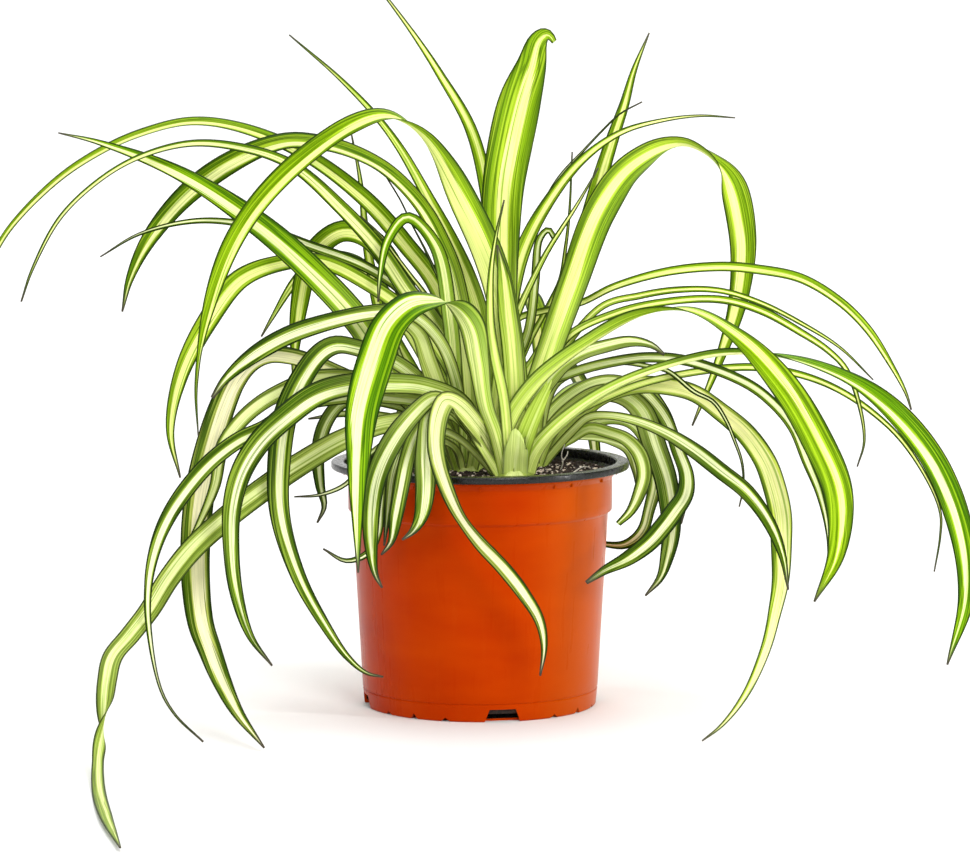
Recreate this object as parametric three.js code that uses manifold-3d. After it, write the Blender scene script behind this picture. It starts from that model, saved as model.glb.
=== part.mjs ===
// Potted spider plant: a thin moulded nursery pot, filled with soil, in which four rosettes of long striped
// leaves stand. Millimetres, +Z up. The origin is the middle of the pot's foot, on the surface it stands on,
// and the front is -Y.
import * as THREE from "three";
import { mergeVertices } from "three/addons/utils/BufferGeometryUtils.js";
import Module from "manifold-3d";

const wasm = await Module();
wasm.setup();

const MERGE_DISTANCE = 1e-4;

// Pot
const POT_HEIGHT = 121.7;
const LIP_RADIUS = 74;
const LIP_HEIGHT = 3.5;
const LIP_ROUND = 0.9;
const COLLAR_RADIUS = 65.6;
const COLLAR_BOTTOM = 97.8;
const COLLAR_TOP = 114.2;
const COLLAR_SLOPE = 1.6;
const SHOULDER_RADIUS = 68.6;
const SHOULDER_SLOPE = 1.2;
const BODY_TOP_RADIUS = 63.6;
const FOOT_RADIUS = 57.8;
const FOOT_ROUND = 1;
const GROOVE_HEIGHT = 8.6;
const GROOVE_DEPTH = 0.5;
const GROOVE_HALF = 0.6;
const GROOVE_FLARE = 0.7;
const WALL = 1.1;
const INNER_SHIFT = 0.4;
const FLOOR_RISE = 3.4;
const FOOT_RING = 6;
const PAD_RADIUS = 20;
const FLOOR_SLOPE = 2;
const FLOOR_INSET = 0.7;
const POT_SIDES = 48;
// Where the inside of the wall bends out into the collar
const WAIST_HEIGHT = COLLAR_BOTTOM - COLLAR_SLOPE + INNER_SHIFT;

// Drain notches round the foot: four large ones, and three small ones between each two of them
const NOTCH = { bottom: 17.7, top: 13, height: 6.3 };
const NOTCH_COUNT = 4;
const FIRST_NOTCH_DEGREES = -79;
const SMALL_NOTCHES = [
  { turn: 28, width: 5, height: 2 },
  { turn: 45, width: 4.4, height: 3 },
  { turn: 62, width: 5, height: 2 },
];
const NOTCH_DEPTH = 5;

// Soil
const SOIL_HEIGHT = 116.5;
const SOIL_GAP = 0.5;
const SOIL_NECK = 1.8;
const SOIL_BUMP = 0.6;
const SOIL_SIDES = 36;
const SOIL_RINGS = 6;

// Crowns: the short stems that the leaves grow from, each in a plain hole in the soil
const CROWN_DEPTH = 22;
const CROWN_RISE = 5.4;
const CROWN_GAP = 0.35;
const CROWN_FOOT_SHARE = 0.7;
const CROWN_TOP_SHARE = 0.6;
const CROWN_SIDES = 12;

// Leaves
const LEAF_THICKNESS = 0.9;
const LEAF_FOLD = 0.13;
const TIP_WIDTH = 1.5;
const ROOT_DEPTH = 5;
const ROOT_SPREAD = 0.35;
const LEAF_STEPS = 60;
const ARC_DIVISIONS = 600;
const STEP_LENGTH = 19;
const FEWEST_STEPS = 6;
const MOST_STEPS = 18;
const LYING_HEIGHT = 2;

// A leaf's points are given as they are seen from a point in front of the plant: across and up on a sloping
// plane through the origin that faces that point, and near, how far they come forward from that plane.
const EYE = new THREE.Vector3(2.4, -1986, 352.1);
const LOOK_DOWN = THREE.MathUtils.degToRad(6.14);
const SEEN_UP = new THREE.Vector3(0, Math.sin(LOOK_DOWN), Math.cos(LOOK_DOWN));
const FORWARD = new THREE.Vector3(0, -Math.cos(LOOK_DOWN), Math.sin(LOOK_DOWN));
const EYE_DISTANCE = EYE.dot(FORWARD);

// Each leaf has, at even steps from its base to its tip, wide, its widths, face, the slope in degrees of its
// upper side from upwards towards the viewer, and, where it is twisted, turn, by how many degrees. at holds its
// points as [across, up, near].
const FRONT_LEAVES = [
  // The tall upright leaf, its tip folded over to the right
  { wide: [9, 9, 10, 12, 15, 18, 20.5, 22.5, 22, 13, 3],
    face: [80, 80, 80], at: [
      [14, 150, 34], [11.5, 190, 31], [10.5, 231, 28], [11.5, 257, 26], [15, 279, 24], [20, 301, 22],
      [25.5, 318, 20], [28.5, 329.5, 18], [32, 333.5, 13], [35, 333, 8], [37, 330, 6]] },
  // The big arch to the left, which shows its underside
  { wide: [11, 13, 14.5, 15.5, 15, 13, 11.5, 10.5, 9, 2.5, 0.7],
    face: [-80, -78, -74, -60, -20, 40, 60, 65, 70, 70], at: [
      [18, 150, 44], [8, 211, 50], [-8, 249, 54], [-28, 283, 58], [-45, 293, 61], [-64, 288.5, 64],
      [-100, 261.5, 69], [-123, 231, 73], [-137, 192, 76], [-142, 158, 78], [-141, 133, 80]] },
  // The bright broad leaf that arches over the pot's left front
  { wide: [7, 7.5, 9, 13, 15.5, 16.5, 18.5, 17, 11, 5.5, 1],
    face: [-60, -60, -25, 50, 72, 78, 78], at: [
      [7.5, 134, 50], [2.5, 148, 55], [-1, 170.5, 60], [-5, 189, 70], [-14, 199.5, 80],
      [-25, 200.5, 88], [-35, 198, 94], [-45, 188.5, 99], [-52, 171, 104], [-59, 145.5, 108],
      [-61, 120, 110], [-61.5, 94.5, 111], [-61, 64.5, 111]] },
  // The twisted leaf that hangs over the middle of the pot's front
  { wide: [7, 8, 10.5, 10.5, 9, 8, 7, 7.5, 7, 4.5, 1],
    face: [60, 70, 70], turn: [0, 0, 0, 0, 0, 25, 50, 25, 0, 0, 0], at: [
      [3.5, 129.5, 45], [-3, 139, 54], [-9.5, 146.5, 63], [-14.5, 150, 70], [-17.5, 149.8, 75],
      [-20, 145, 80], [-21.7, 137, 86], [-22, 127, 91], [-19, 113.5, 96], [-11, 94.5, 99],
      [-1, 80.5, 98], [12, 66.5, 97], [22, 53.5, 95], [29.5, 41, 92], [32, 28, 88], [30, 13, 84]] },
  // Two short upright leaves in front of the tall one
  { wide: [9, 9.5, 10.5, 10.5, 10.5, 10, 7, 1],
    face: [75, 75, 75], at: [
      [17.5, 150, 48], [16, 176, 50], [13.5, 196, 52], [11.5, 213.5, 54], [8.5, 228.5, 56]] },
  { wide: [4.5, 5.5, 5.5, 4.5, 2.5, 0.8],
    face: [75, 75, 75], at: [
      [12, 150, 54], [7, 175, 59], [5, 191, 61], [5.5, 216, 64], [8, 233.5, 66], [12, 251, 68]] },
  // The big bright arch to the right
  { wide: [8, 8.5, 10, 10.5, 10.5, 11.5, 13.5, 15.5, 16, 11, 1],
    face: [-50, -45, -35, 15, 60, 72, 76], at: [
      [11, 127, 45], [16, 143, 51], [29, 161, 58], [52, 179, 66], [80, 194, 74], [104, 196, 81],
      [128, 183, 88], [151, 159, 94], [168, 131, 99], [179, 104, 103], [178, 74, 104], [167, 50, 102]] },
  // The longest arch to the right
  { wide: [9, 9, 9, 9, 10.5, 12.5, 13.5, 14, 13, 9, 1],
    face: [-50, -40, -30, 15, 50, 62, 66], at: [
      [27, 124, 41], [36.5, 136, 42], [59.5, 153.5, 46], [87, 166, 49], [125, 174.5, 50],
      [157, 171.5, 50], [194, 155.5, 50], [225, 123, 50], [241, 83, 50], [243, 52, 48],
      [233.5, 18.5, 46]] },
  // The high arch to the right
  { wide: [9, 11, 13, 15, 16.5, 17, 15, 15.5, 11, 5, 1],
    face: [-85, -85, -85, -82, -76, -55, 5, 60, 74, 75, 75], at: [
      [23, 140, 35], [33, 171, 21], [46, 208, 10], [60.5, 246, 0], [77, 268, -8], [102, 279, -16],
      [122, 266, -22], [131, 235, -26], [129, 201, -29], [120, 172, -31], [106, 138, -33]] },
  // Four leaves that hang over the pot's left front, from the outermost inwards
  { wide: [5, 5, 6, 8, 10.5, 11, 9.5, 7, 1],
    face: [50, 60, 75], at: [
      [-10, 143, 54], [-22, 152, 68], [-34, 143, 80], [-45, 128, 91], [-52, 112, 97], [-54.5, 96, 101],
      [-54.5, 77, 101], [-52.5, 64, 99], [-49, 57, 97]] },
  { wide: [5, 5, 5.5, 6.5, 8, 8, 7, 1],
    face: [50, 60, 75], at: [
      [-8, 138, 46], [-20, 144, 58], [-30, 137, 70], [-36, 123, 84], [-39, 109, 92], [-42, 93, 95],
      [-44.5, 80, 94], [-49.5, 73.5, 91]] },
  { wide: [4, 4, 5, 6, 6, 4.5, 1],
    face: [50, 60, 75], at: [
      [-10, 131, 43], [-24, 136, 56], [-36, 131, 70], [-43, 116, 81], [-46, 96, 85], [-48, 78, 85]] },
  { wide: [5, 5, 6, 7, 8, 11, 8.5, 1],
    face: [50, 60, 75], at: [
      [-8, 139, 52], [-19, 147, 67], [-26, 142, 79], [-27.5, 124, 87], [-27.5, 106, 90],
      [-29.5, 93, 91], [-33.5, 85.5, 95], [-39, 81, 99]] },
  // The short broad leaf between the arches to the right
  { wide: [6, 8, 10, 11, 10.5, 8, 2],
    face: [45, 40, 40], at: [
      [27, 148, 41], [39, 166, 44], [50, 173.5, 46], [62, 177.5, 46], [76, 180, 46], [86, 178, 46],
      [92, 173.5, 45]] },
  // The torn yellow base of an old leaf, and the pale cut sheath in front of it
  { wide: [9, 10, 10, 9, 6],
    face: [60, 60, 60], at: [
      [20, 124, 44], [23, 134, 47], [28, 146, 49], [34, 158, 50]] },
  { wide: [12, 12.5, 12, 9],
    face: [85, 85, 85], at: [
      [17.5, 119, 48], [18, 126, 51], [18.5, 134, 52]] },
];

const LEFT_LEAVES = [
  // The long flat arches to the far left
  { wide: [6, 9, 10.5, 9.5, 8, 7.5, 5, 1],
    face: [60, 45, 35, 30, 35], at: [
      [-10, 165, -10], [-21, 206, -24], [-37.5, 228.5, -32], [-57.5, 251, -38], [-87.5, 273.5, -43],
      [-120, 287, -48], [-145, 290, -51], [-170, 284, -55], [-190, 275, -59], [-210, 262, -63],
      [-230, 243, -67], [-240, 229.5, -69], [-251, 205, -72], [-257, 180, -74]] },
  { wide: [6, 9.5, 10.5, 9, 6.5, 5, 3.5, 1],
    face: [60, 50, 35, 35, 40], at: [
      [-9, 160, -2], [-25, 192, -2], [-36, 204.5, -2], [-50, 225, 0], [-70, 247, 2], [-95, 268.5, 4],
      [-120, 277, 5], [-145, 279, 5], [-170, 272.5, 4], [-190, 261, 2], [-210, 242, 0],
      [-224, 216, -2], [-229.5, 200, -3]] },
  { wide: [3, 4, 4, 3, 2, 0.8],
    face: [70, 60, 60], at: [
      [-12, 170, -11], [-25, 200, -18], [-35, 213.5, -21], [-42.5, 223.5, -23], [-50, 233.5, -25],
      [-60, 243, -27]] },
  // The straight leaf that points up to the left
  { wide: [7, 9, 12, 14.5, 15, 13.5, 11, 7.5, 4, 0.8],
    face: [70, 60, 60], at: [
      [-20, 135, 8], [-40, 156, 16], [-60, 188.5, 20], [-80, 211, 18], [-110, 238, 8], [-150, 264, -8],
      [-190, 279.5, -20], [-211, 284.5, -26]] },
  // The green arch in front of them
  { wide: [6, 8, 9.5, 9.5, 10.5, 13.5, 14, 9.5, 1],
    face: [60, 60, 30, 30, 62, 70], at: [
      [-5, 160, 8], [-12.5, 211, 0], [-20, 231, -6], [-30, 248.5, -12], [-47.5, 266, -18],
      [-65, 275, -22], [-82.5, 279.5, -26], [-97.5, 280, -29], [-120, 272, -33], [-145, 255, -37],
      [-165, 232, -40], [-175, 212, -42], [-179, 195, -43]] },
  // Two middle arches to the left, and a thin one behind them
  { wide: [4, 5.5, 6.5, 7.5, 9.5, 10.5, 9.5, 2],
    face: [60, 50, 60], at: [
      [-10, 150, 22], [-20, 180, 30], [-35, 194, 34], [-54, 194.5, 38], [-85, 187, 46],
      [-100, 181, 51], [-115, 172, 57], [-127.5, 161, 61], [-134, 152, 63]] },
  { wide: [6, 8, 8, 8, 9, 12, 10.5, 6, 1],
    face: [60, 55, 65], at: [
      [-12, 160, 4], [-32, 190, 2], [-55, 208, 0], [-80, 220, 0], [-100, 219, 4], [-120, 211, 10],
      [-135, 192, 16], [-149, 165, 20], [-155, 136, 24], [-150, 112, 26]] },
  { wide: [3, 4, 5, 6, 5, 3, 0.8],
    face: [60, 60, 60], at: [
      [-10, 150, 0], [-28, 190, -4], [-40, 206, -6], [-57.5, 217.5, -8], [-85, 228, -9],
      [-110, 237, -10], [-140, 240.5, -12], [-170, 234, -14], [-190, 222.5, -16]] },
  // A short arch at the back, a small leaf beside it, and two thin upright leaves
  { wide: [5, 7, 9, 11, 12.5, 12, 9, 1],
    face: [60, 55, 65], at: [
      [-14, 160, -16], [-34, 200, -30], [-55, 231, -36], [-69, 235, -37], [-81, 227, -37],
      [-87.5, 213.5, -36], [-90, 201, -35], [-92, 186, -33], [-93.5, 160, -30]] },
  { wide: [3, 4.5, 5.5, 7, 7.5, 5.5, 1],
    face: [60, 60, 60], at: [
      [-18, 150, -22], [-45, 200, -66], [-62, 220, -72], [-80, 222, -74], [-92, 211, -75],
      [-104, 192, -75], [-109.5, 182.5, -75]] },
  { wide: [3, 5.5, 6.5, 6.5, 5, 3, 0.8],
    face: [75, 75, 75], at: [
      [-22, 145, -18], [-42, 180, -38], [-50, 195, -46], [-55, 218.5, -54], [-57, 231, -56],
      [-60, 261, -60], [-64.5, 284.5, -64]] },
  { wide: [2.5, 3.5, 3, 2, 1, 0.8],
    face: [75, 75, 75], at: [
      [-8, 170, -5], [-14, 198, -5], [-20, 210, -8], [-27.5, 226, -10], [-34, 238.5, -12],
      [-40, 251, -14], [-47, 262.5, -16]] },
  // The pale broad leaf that hangs at the left
  { wide: [6, 8, 8.5, 11.5, 14.5, 15, 13.5, 9.5, 1],
    face: [60, 55, 75], at: [
      [-25, 142, 6], [-45, 152, 12], [-65, 161.5, 16], [-80, 168, 20], [-95, 172.5, 25],
      [-107, 173, 30], [-116, 168.5, 35], [-123, 160, 40], [-128.5, 148, 46], [-134, 131, 52],
      [-140, 105, 59], [-142.5, 70.5, 72], [-140, 40.5, 87], [-135, 25.5, 97], [-129, 10, 107],
      [-121.5, -5, 117], [-108, -23, 129]] },
  // The hanging leaf with the long thread-like tip, and the pale one behind it
  { wide: [6, 8, 9, 9, 9, 8.5, 4, 1.8, 1],
    face: [60, 60, 75], at: [
      [-20, 145, 20], [-50, 153, 38], [-75, 152, 46], [-90, 148.5, 54], [-107, 137, 64],
      [-120, 131, 73], [-134, 120.5, 84], [-146.5, 106.5, 93], [-155.5, 93, 99], [-161.5, 79.5, 104],
      [-165.5, 62, 108], [-166, 40.5, 111], [-160, 7, 116], [-152.5, -6.5, 119], [-138.5, -20, 122]] },
  { wide: [5, 7, 9, 10, 9, 7.5, 5, 1],
    face: [60, 60, 75], at: [
      [-25, 150, 14], [-50, 158, 24], [-67.5, 161.5, 32], [-83.5, 161, 40], [-95, 157, 46],
      [-109, 149.5, 53], [-120, 140, 60], [-129, 127, 66], [-132.5, 108.5, 72], [-138.5, 93.5, 76],
      [-145, 81, 78], [-151, 73, 78]] },
  // The longest leaf: it comes down at the left, twists, and lies forward along the surface
  { wide: [6, 10, 12.5, 12, 10.5, 9.5, 5.5, 6.5, 6, 1],
    face: [60, 60, 60, 60, 60, 60, 40, 0, 0], turn: [0, 0, 0, 0, 0, 0, 180, 180, 180, 180], at: [
      [-20, 138, 26], [-45, 139, 40], [-68, 131, 52], [-89, 119, 62], [-107.5, 106.5, 70],
      [-127, 91.5, 80], [-143.5, 76.5, 88], [-155.5, 61.5, 93], [-165, 46, 99], [-175, 33, 110],
      [-183.5, 22.5, 124], [-186.5, 10, 140], [-188, -5, 157], [-191, -27.5, 187], [-191, -42.5, 218],
      [-187, -57.5, 283], [-180, -73, 342]] },
  // Two hanging leaves nearer the pot
  { wide: [6, 8, 10.5, 12.5, 12.5, 11.5, 8.5, 6.5, 1],
    face: [60, 60, 75], at: [
      [-2, 135, 26], [-10, 150, 34], [-28, 157.5, 42], [-43, 159, 50], [-66, 158, 62],
      [-81.5, 153.5, 74], [-96.5, 143, 86], [-110.5, 129.5, 94], [-119.5, 114.5, 99],
      [-124, 97.5, 103], [-124.5, 78, 106], [-122, 55, 109], [-115, 33, 111], [-104, 18, 113]] },
  { wide: [6, 8, 8.5, 10.5, 12.5, 11, 8, 5, 1],
    face: [60, 60, 75], at: [
      [-16, 140, 14], [-30, 160, 26], [-45, 171, 40], [-61, 176.5, 52], [-73, 178, 60], [-82, 172, 65],
      [-96, 147, 72], [-100.5, 120, 77], [-100, 93, 81], [-91, 63, 84], [-78, 39, 81],
      [-66.5, 22.5, 75], [-57, 14.5, 70], [-48.5, 12.5, 66]] },
  // Small leaves between the pot and the hanging ones
  { wide: [3, 5, 5.5, 6, 7, 7.5, 5.5, 1],
    face: [60, 60, 75], at: [
      [-25, 140, 8], [-50, 150, 18], [-68, 150, 28], [-77, 140, 36], [-81, 125, 41], [-80, 108, 44],
      [-78, 97.5, 45], [-81.5, 89.5, 46]] },
  { wide: [3, 4.5, 5, 5, 4, 1],
    face: [60, 60, 60], at: [
      [-25, 136, -2], [-45, 142, 2], [-65, 144, 8], [-86, 141.5, 12]] },
  { wide: [2, 3, 3, 3, 2.5, 2.5, 0.8],
    face: [60, 60, 60], at: [
      [-14, 128, 20], [-32, 133, 38], [-45, 131, 52], [-56, 123, 62], [-67, 109, 66], [-80, 103.5, 66],
      [-93, 102.5, 65]] },
  { wide: [3, 4.5, 4.5, 4.5, 4.5, 4, 1],
    face: [60, 60, 60], at: [
      [-12, 126, 24], [-26, 132, 44], [-40, 132, 63], [-48, 117, 77], [-50, 98, 76], [-51, 85, 76],
      [-56, 74.5, 75], [-67, 70.5, 73], [-78.5, 76.5, 70]] },
  // A short arch and two short pale leaves near the crown
  { wide: [5, 7.5, 8.5, 8, 8, 7, 4.5, 1],
    face: [60, 45, 40, 60], at: [
      [-12, 150, 8], [-15, 190, 8], [-22.5, 228, 8], [-36.5, 242, 9], [-46, 231, 10], [-50, 213, 11],
      [-51, 200, 12]] },
  { wide: [6, 8, 10, 10, 8, 5, 1],
    face: [60, 55, 60], at: [
      [-10, 140, 18], [-19, 152, 26], [-26, 170, 28], [-31, 184, 26], [-40, 190, 20], [-50, 184, 14],
      [-56, 172, 10]] },
  { wide: [5, 6, 6, 5, 4, 1],
    face: [70, 65, 60], at: [
      [-12, 140, 10], [-24, 152, 14], [-34, 162, 14], [-40, 173, 12], [-42, 182, 10]] },
];

const BACK_LEAVES = [
  // Thin leaves that rise to the upper left behind the tall one
  { wide: [6, 8.5, 10, 9, 6, 4, 2.5, 0.8],
    face: [75, 70, 70], at: [
      [3, 150, -16], [0, 191, -16], [-6, 211, -17], [-15, 231, -19], [-25.5, 251, -22],
      [-39, 275, -26], [-51, 291.5, -30], [-70, 311.5, -35], [-95.5, 333.5, -43]] },
  { wide: [5, 7, 7.5, 7.5, 7, 5, 2.5, 0.8],
    face: [75, 70, 70], at: [
      [7, 150, -28], [8, 200, -36], [3, 256, -42], [-5, 287, -46], [-20, 313.5, -52], [-30, 329, -56],
      [-40, 343, -61], [-50, 356, -66], [-60, 368, -71]] },
  // The bent leaf behind the high right arch
  { wide: [4, 5, 5, 5, 4.5, 3],
    face: [80, 80, 80], at: [
      [14, 160, -20], [24, 185, -14], [27.5, 211, -15], [29.5, 231, -18], [34, 236, -22], [37, 232, -26]] },
  // Leaves that rise to the right
  { wide: [5, 8, 9.5, 8.5, 6, 4, 2.3, 0.8],
    face: [75, 65, 60], at: [
      [10, 160, -8], [16.5, 208.5, -4], [22.5, 228.5, -4], [32.5, 247.5, -6], [50, 270, -11],
      [70, 284.5, -17], [90, 290.5, -22], [110, 293, -26], [127.5, 292, -30]] },
  { wide: [2, 3.5, 3.5, 2.5, 1.5, 0.8],
    face: [75, 65, 60], at: [
      [10, 170, -30], [22, 225, -34], [38, 260, -36], [52.5, 276.5, -36], [60, 284.5, -36],
      [70, 294, -36], [81, 300, -36]] },
  { wide: [2, 3.5, 3.5, 2.5, 1.5, 0.8],
    face: [80, 80, 80], at: [
      [20, 170, -24], [34, 198, -29], [40, 211, -30], [42.5, 226, -30], [44.5, 243.5, -30],
      [46, 275, -30]] },
  { wide: [3, 4.5, 4.5, 3.5, 2.5, 0.8],
    face: [75, 70, 70], at: [
      [10, 165, -10], [18.5, 193.5, 2], [27.5, 213.5, 4], [34, 226, 4], [41, 237, 4], [47.5, 247, 3],
      [54, 258, 2], [59, 267, 1]] },
  { wide: [6, 8, 9.5, 9.5, 8.5, 5.5, 0.8],
    face: [75, 70, 70], at: [
      [16, 150, -30], [35, 181, -42], [42.5, 206, -46], [52, 233.5, -50], [60.5, 263.5, -54],
      [66, 281, -56], [72, 298.5, -58], [77, 316, -60], [84.5, 334.5, -63]] },
  // The long thin arch to the right
  { wide: [3, 4, 4, 4.5, 5.5, 6, 5, 1],
    face: [60, 55, 60], at: [
      [4, 150, -24], [10, 180, -25], [19, 191.5, -24], [30.5, 195, -20], [50.5, 199.5, -8],
      [67, 207.5, 2], [93.5, 215, 10], [120.5, 217.5, 12], [139, 216, 12], [160.5, 211.5, 10],
      [180.5, 199.5, 8], [194, 186, 6], [206, 167.5, 4], [213, 154, 2], [215.5, 146, 0]] },
  // Leaves that arch and hang behind the pot
  { wide: [6, 8.5, 10.5, 10, 7.5, 1],
    face: [0, 0, 0], at: [
      [8, 145, -40], [22, 165, -75], [38, 172, -110], [52, 155, -142], [58, 120, -160], [60, 88, -166]] },
  { wide: [6, 8, 10, 9.5, 7, 1],
    face: [0, 0, 0], at: [
      [-1, 148, -44], [-5, 172, -76], [-10, 180, -108], [-13, 168, -140], [-14, 138, -160],
      [-14, 100, -170]] },
  { wide: [6, 8.5, 11, 11, 8.5, 1],
    face: [0, 0, 0], at: [
      [6, 155, -46], [14, 190, -88], [22, 204, -124], [28, 196, -160], [31, 168, -184],
      [32, 130, -198], [31, 92, -202]] },
  { wide: [5, 7, 9, 8.5, 6, 1],
    face: [0, 0, 0], at: [
      [-6, 142, -40], [-20, 152, -70], [-34, 150, -102], [-44, 130, -126], [-48, 100, -138],
      [-50, 68, -144]] },
  { wide: [5, 7, 8, 7, 5, 1],
    face: [0, 0, 0], at: [
      [-8, 136, -36], [-28, 144, -56], [-50, 142, -76], [-70, 131, -92], [-88, 119, -104],
      [-104, 107.5, -112]] },
];

const RIGHT_LEAVES = [
  // Two thin arches above the big ones
  { wide: [3, 4.5, 4.5, 4.5, 4.5, 3, 0.8],
    face: [60, 55, 60], at: [
      [32, 155, 4], [42.5, 181, 12], [67, 194, 20], [93.5, 200, 27], [120.5, 201, 31],
      [140.5, 195.5, 33], [160.5, 184.5, 34], [174, 175.5, 34], [183, 166, 34], [189.5, 148.5, 34],
      [192, 130, 34], [188.5, 117.5, 34]] },
  { wide: [3, 4, 4, 4, 3.5, 2.5, 0.8],
    face: [60, 55, 60], at: [
      [34, 160, -4], [60, 197, 4], [80, 203, 8], [100, 206, 12], [120, 205.5, 14], [140, 199.5, 15],
      [160, 189.5, 16], [180, 177, 17], [196.5, 161, 17]] },
  // The leaf along the left edge of the big bright arch
  { wide: [4, 5.5, 6, 6, 5.5, 4.5, 0.8],
    face: [60, 55, 65], at: [
      [33.5, 158, 8], [45, 164, 14], [65, 169.5, 22], [85, 172, 28], [105, 170, 33], [133.5, 159, 44],
      [147, 148.5, 51], [156.5, 136.5, 58], [163, 120.5, 65], [170, 103, 72], [174, 83, 76],
      [174, 67, 79]] },
  // The thin leaf that falls between the big arches
  { wide: [2.5, 3, 3, 2.8, 2, 0.8],
    face: [60, 60, 60], at: [
      [38, 158, -4], [55, 166, 2], [70, 169.5, 6], [82.5, 168, 10], [93.5, 165.5, 14], [107, 155, 20],
      [116.5, 150, 24], [123, 140.5, 27], [127, 131, 30], [131, 119, 33], [131.5, 107, 35],
      [129.5, 97.5, 37]] },
  // The cream leaf that arches to the right and hangs to the foot
  { wide: [6, 9, 10, 9.5, 11.5, 12, 10, 6, 4, 0.8],
    face: [60, 55, 75], at: [
      [36, 130, -2], [48, 142, 2], [62, 153, 5], [79, 158, 6], [93.5, 157.5, 7], [107, 154, 7],
      [120.5, 144.5, 11], [132.5, 134, 20], [142, 120.5, 30], [147, 107, 42], [150, 93.5, 54],
      [150.5, 80, 66], [150, 60, 80], [147.5, 46, 89], [142.5, 26, 99], [132.5, 3.5, 109],
      [121, -11.5, 115], [111, -19.5, 120]] },
  // The straight low leaf that crosses in front of it
  { wide: [4, 5, 5, 6.5, 8.5, 8.5, 6, 1],
    face: [60, 60, 60], at: [
      [36, 124, 0], [47.5, 136.5, 8], [54, 142, 13], [64, 143, 21], [77.5, 140.5, 31], [93.5, 134, 43],
      [107, 125.5, 53], [120.5, 115, 63], [133.5, 104.5, 72], [144.5, 89.5, 80], [151, 73.5, 87],
      [154, 56, 93]] },
  // Old leaves that bend down over the pot's right side
  { wide: [5, 7, 8, 8, 6.5, 8, 10.5, 9.5, 2],
    face: [60, 40, 60], at: [
      [33, 140, -14], [50, 156, -20], [65, 160.5, -22], [78, 157, -20], [87.5, 148.5, -14],
      [94, 138.5, -8], [98.5, 126, 0], [103, 113.5, 11], [102.5, 104, 21], [97, 95, 32],
      [91.5, 87.5, 40], [84, 79, 47], [73, 71, 53], [62, 65.5, 58], [53, 59.5, 61]] },
  { wide: [6, 8, 10.5, 12.5, 12, 9, 1],
    face: [60, 50, 70], at: [
      [34, 134, -8], [48, 148, -7], [60, 154, -7], [72, 152.5, -6], [80.5, 145.5, -3], [87, 128, 4],
      [93, 109.5, 10], [95.5, 87.5, 14], [93.5, 73, 16], [90, 62, 18], [82.5, 53, 20]] },
  { wide: [4.5, 7, 7.5, 8.5, 7, 3],
    face: [50, 50, 70], at: [
      [36, 126, -7], [46, 132, -8], [54.5, 136.5, -6], [64, 134.5, -1], [73, 131, 6], [79.5, 124, 12],
      [82, 114, 18], [79.5, 104, 24], [75, 95, 30], [69, 89, 36]] },
  { wide: [3.5, 6, 7.5, 8, 7.5, 6, 3],
    face: [50, 40, 60], turn: [0, 0, 0, -20, -45, -45], at: [
      [36, 128, -16], [50, 136, -22], [64, 141, -26], [76, 138.5, -27], [85, 126, -25],
      [87.5, 111, -20], [84, 95, -18], [82, 87.5, -20], [78, 82, -25], [71.5, 78.5, -31], [60, 79, -40]] },
  { wide: [5, 8, 9.5, 9, 7, 1],
    face: [30, 20, 60], at: [
      [30, 128, -16], [42, 131.5, -32], [55.5, 132, -42], [65, 130.5, -45], [74.5, 126, -43],
      [78, 116, -39], [79, 103.5, -35]] },
  { wide: [3, 4, 5, 5, 3.5, 1],
    face: [60, 60, 60], at: [
      [34, 140, -26], [60, 158, -36], [80, 159, -37], [92, 146, -33], [98, 131, -27], [102, 116, -21],
      [103, 101, -15], [100.5, 89, -11]] },
  // A narrow leaf behind the longest arch, and one that hangs behind the pot's right side
  { wide: [3, 4.5, 4.5, 4.5, 3.5, 2, 0.8],
    face: [60, 55, 60], at: [
      [40, 138, 4], [70, 155, 14], [100, 163.5, 14], [140, 167, 14], [175, 158, 15], [205, 137, 20],
      [222, 114, 28], [230, 95, 33], [230, 83, 34], [227, 65, 34]] },
  { wide: [6, 8, 10, 10, 8, 1],
    face: [0, 0, 0], at: [
      [29, 134, -16], [36, 146, -38], [50, 158, -66], [66, 160, -88], [80, 150, -106], [88, 128, -116],
      [90, 100, -120]] },
];

// The crowns stand where the leaves of each rosette meet the soil
const ROSETTES = [
  { name: "front_rosette", x: 17, y: -28, radius: 12.5, leaves: FRONT_LEAVES },
  { name: "left_rosette", x: -6, y: 2, radius: 10, leaves: LEFT_LEAVES },
  { name: "back_rosette", x: 2, y: 34, radius: 9, leaves: BACK_LEAVES },
  { name: "right_rosette", x: 25, y: 18, radius: 9, leaves: RIGHT_LEAVES },
];

const terracotta = new THREE.MeshStandardMaterial({ color: 0xc84708, roughness: 0.42, metalness: 0 });
const pottingSoil = new THREE.MeshStandardMaterial({ color: 0x2c1c14, roughness: 0.95, metalness: 0 });
const leafGreen = new THREE.MeshStandardMaterial({ color: 0x8fb52e, roughness: 0.5, metalness: 0 });

// A closed geometry, its doubled points merged, as a solid that can be joined and cut
function solid(geometry) {
  const bare = geometry.clone();
  bare.deleteAttribute("normal");
  bare.deleteAttribute("uv");
  const merged = mergeVertices(bare, MERGE_DISTANCE);
  const mesh = new wasm.Mesh({
    numProp: 3,
    vertProperties: new Float32Array(merged.attributes.position.array),
    triVerts: new Uint32Array(merged.index.array),
  });
  return new wasm.Manifold(mesh);
}

function geometryOf(body) {
  const { vertProperties, triVerts } = body.getMesh();
  const geometry = new THREE.BufferGeometry();
  geometry.setAttribute("position", new THREE.BufferAttribute(new Float32Array(vertProperties), 3));
  geometry.setIndex(new THREE.BufferAttribute(new Uint32Array(triVerts), 1));
  geometry.computeVertexNormals();
  return geometry;
}

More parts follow.
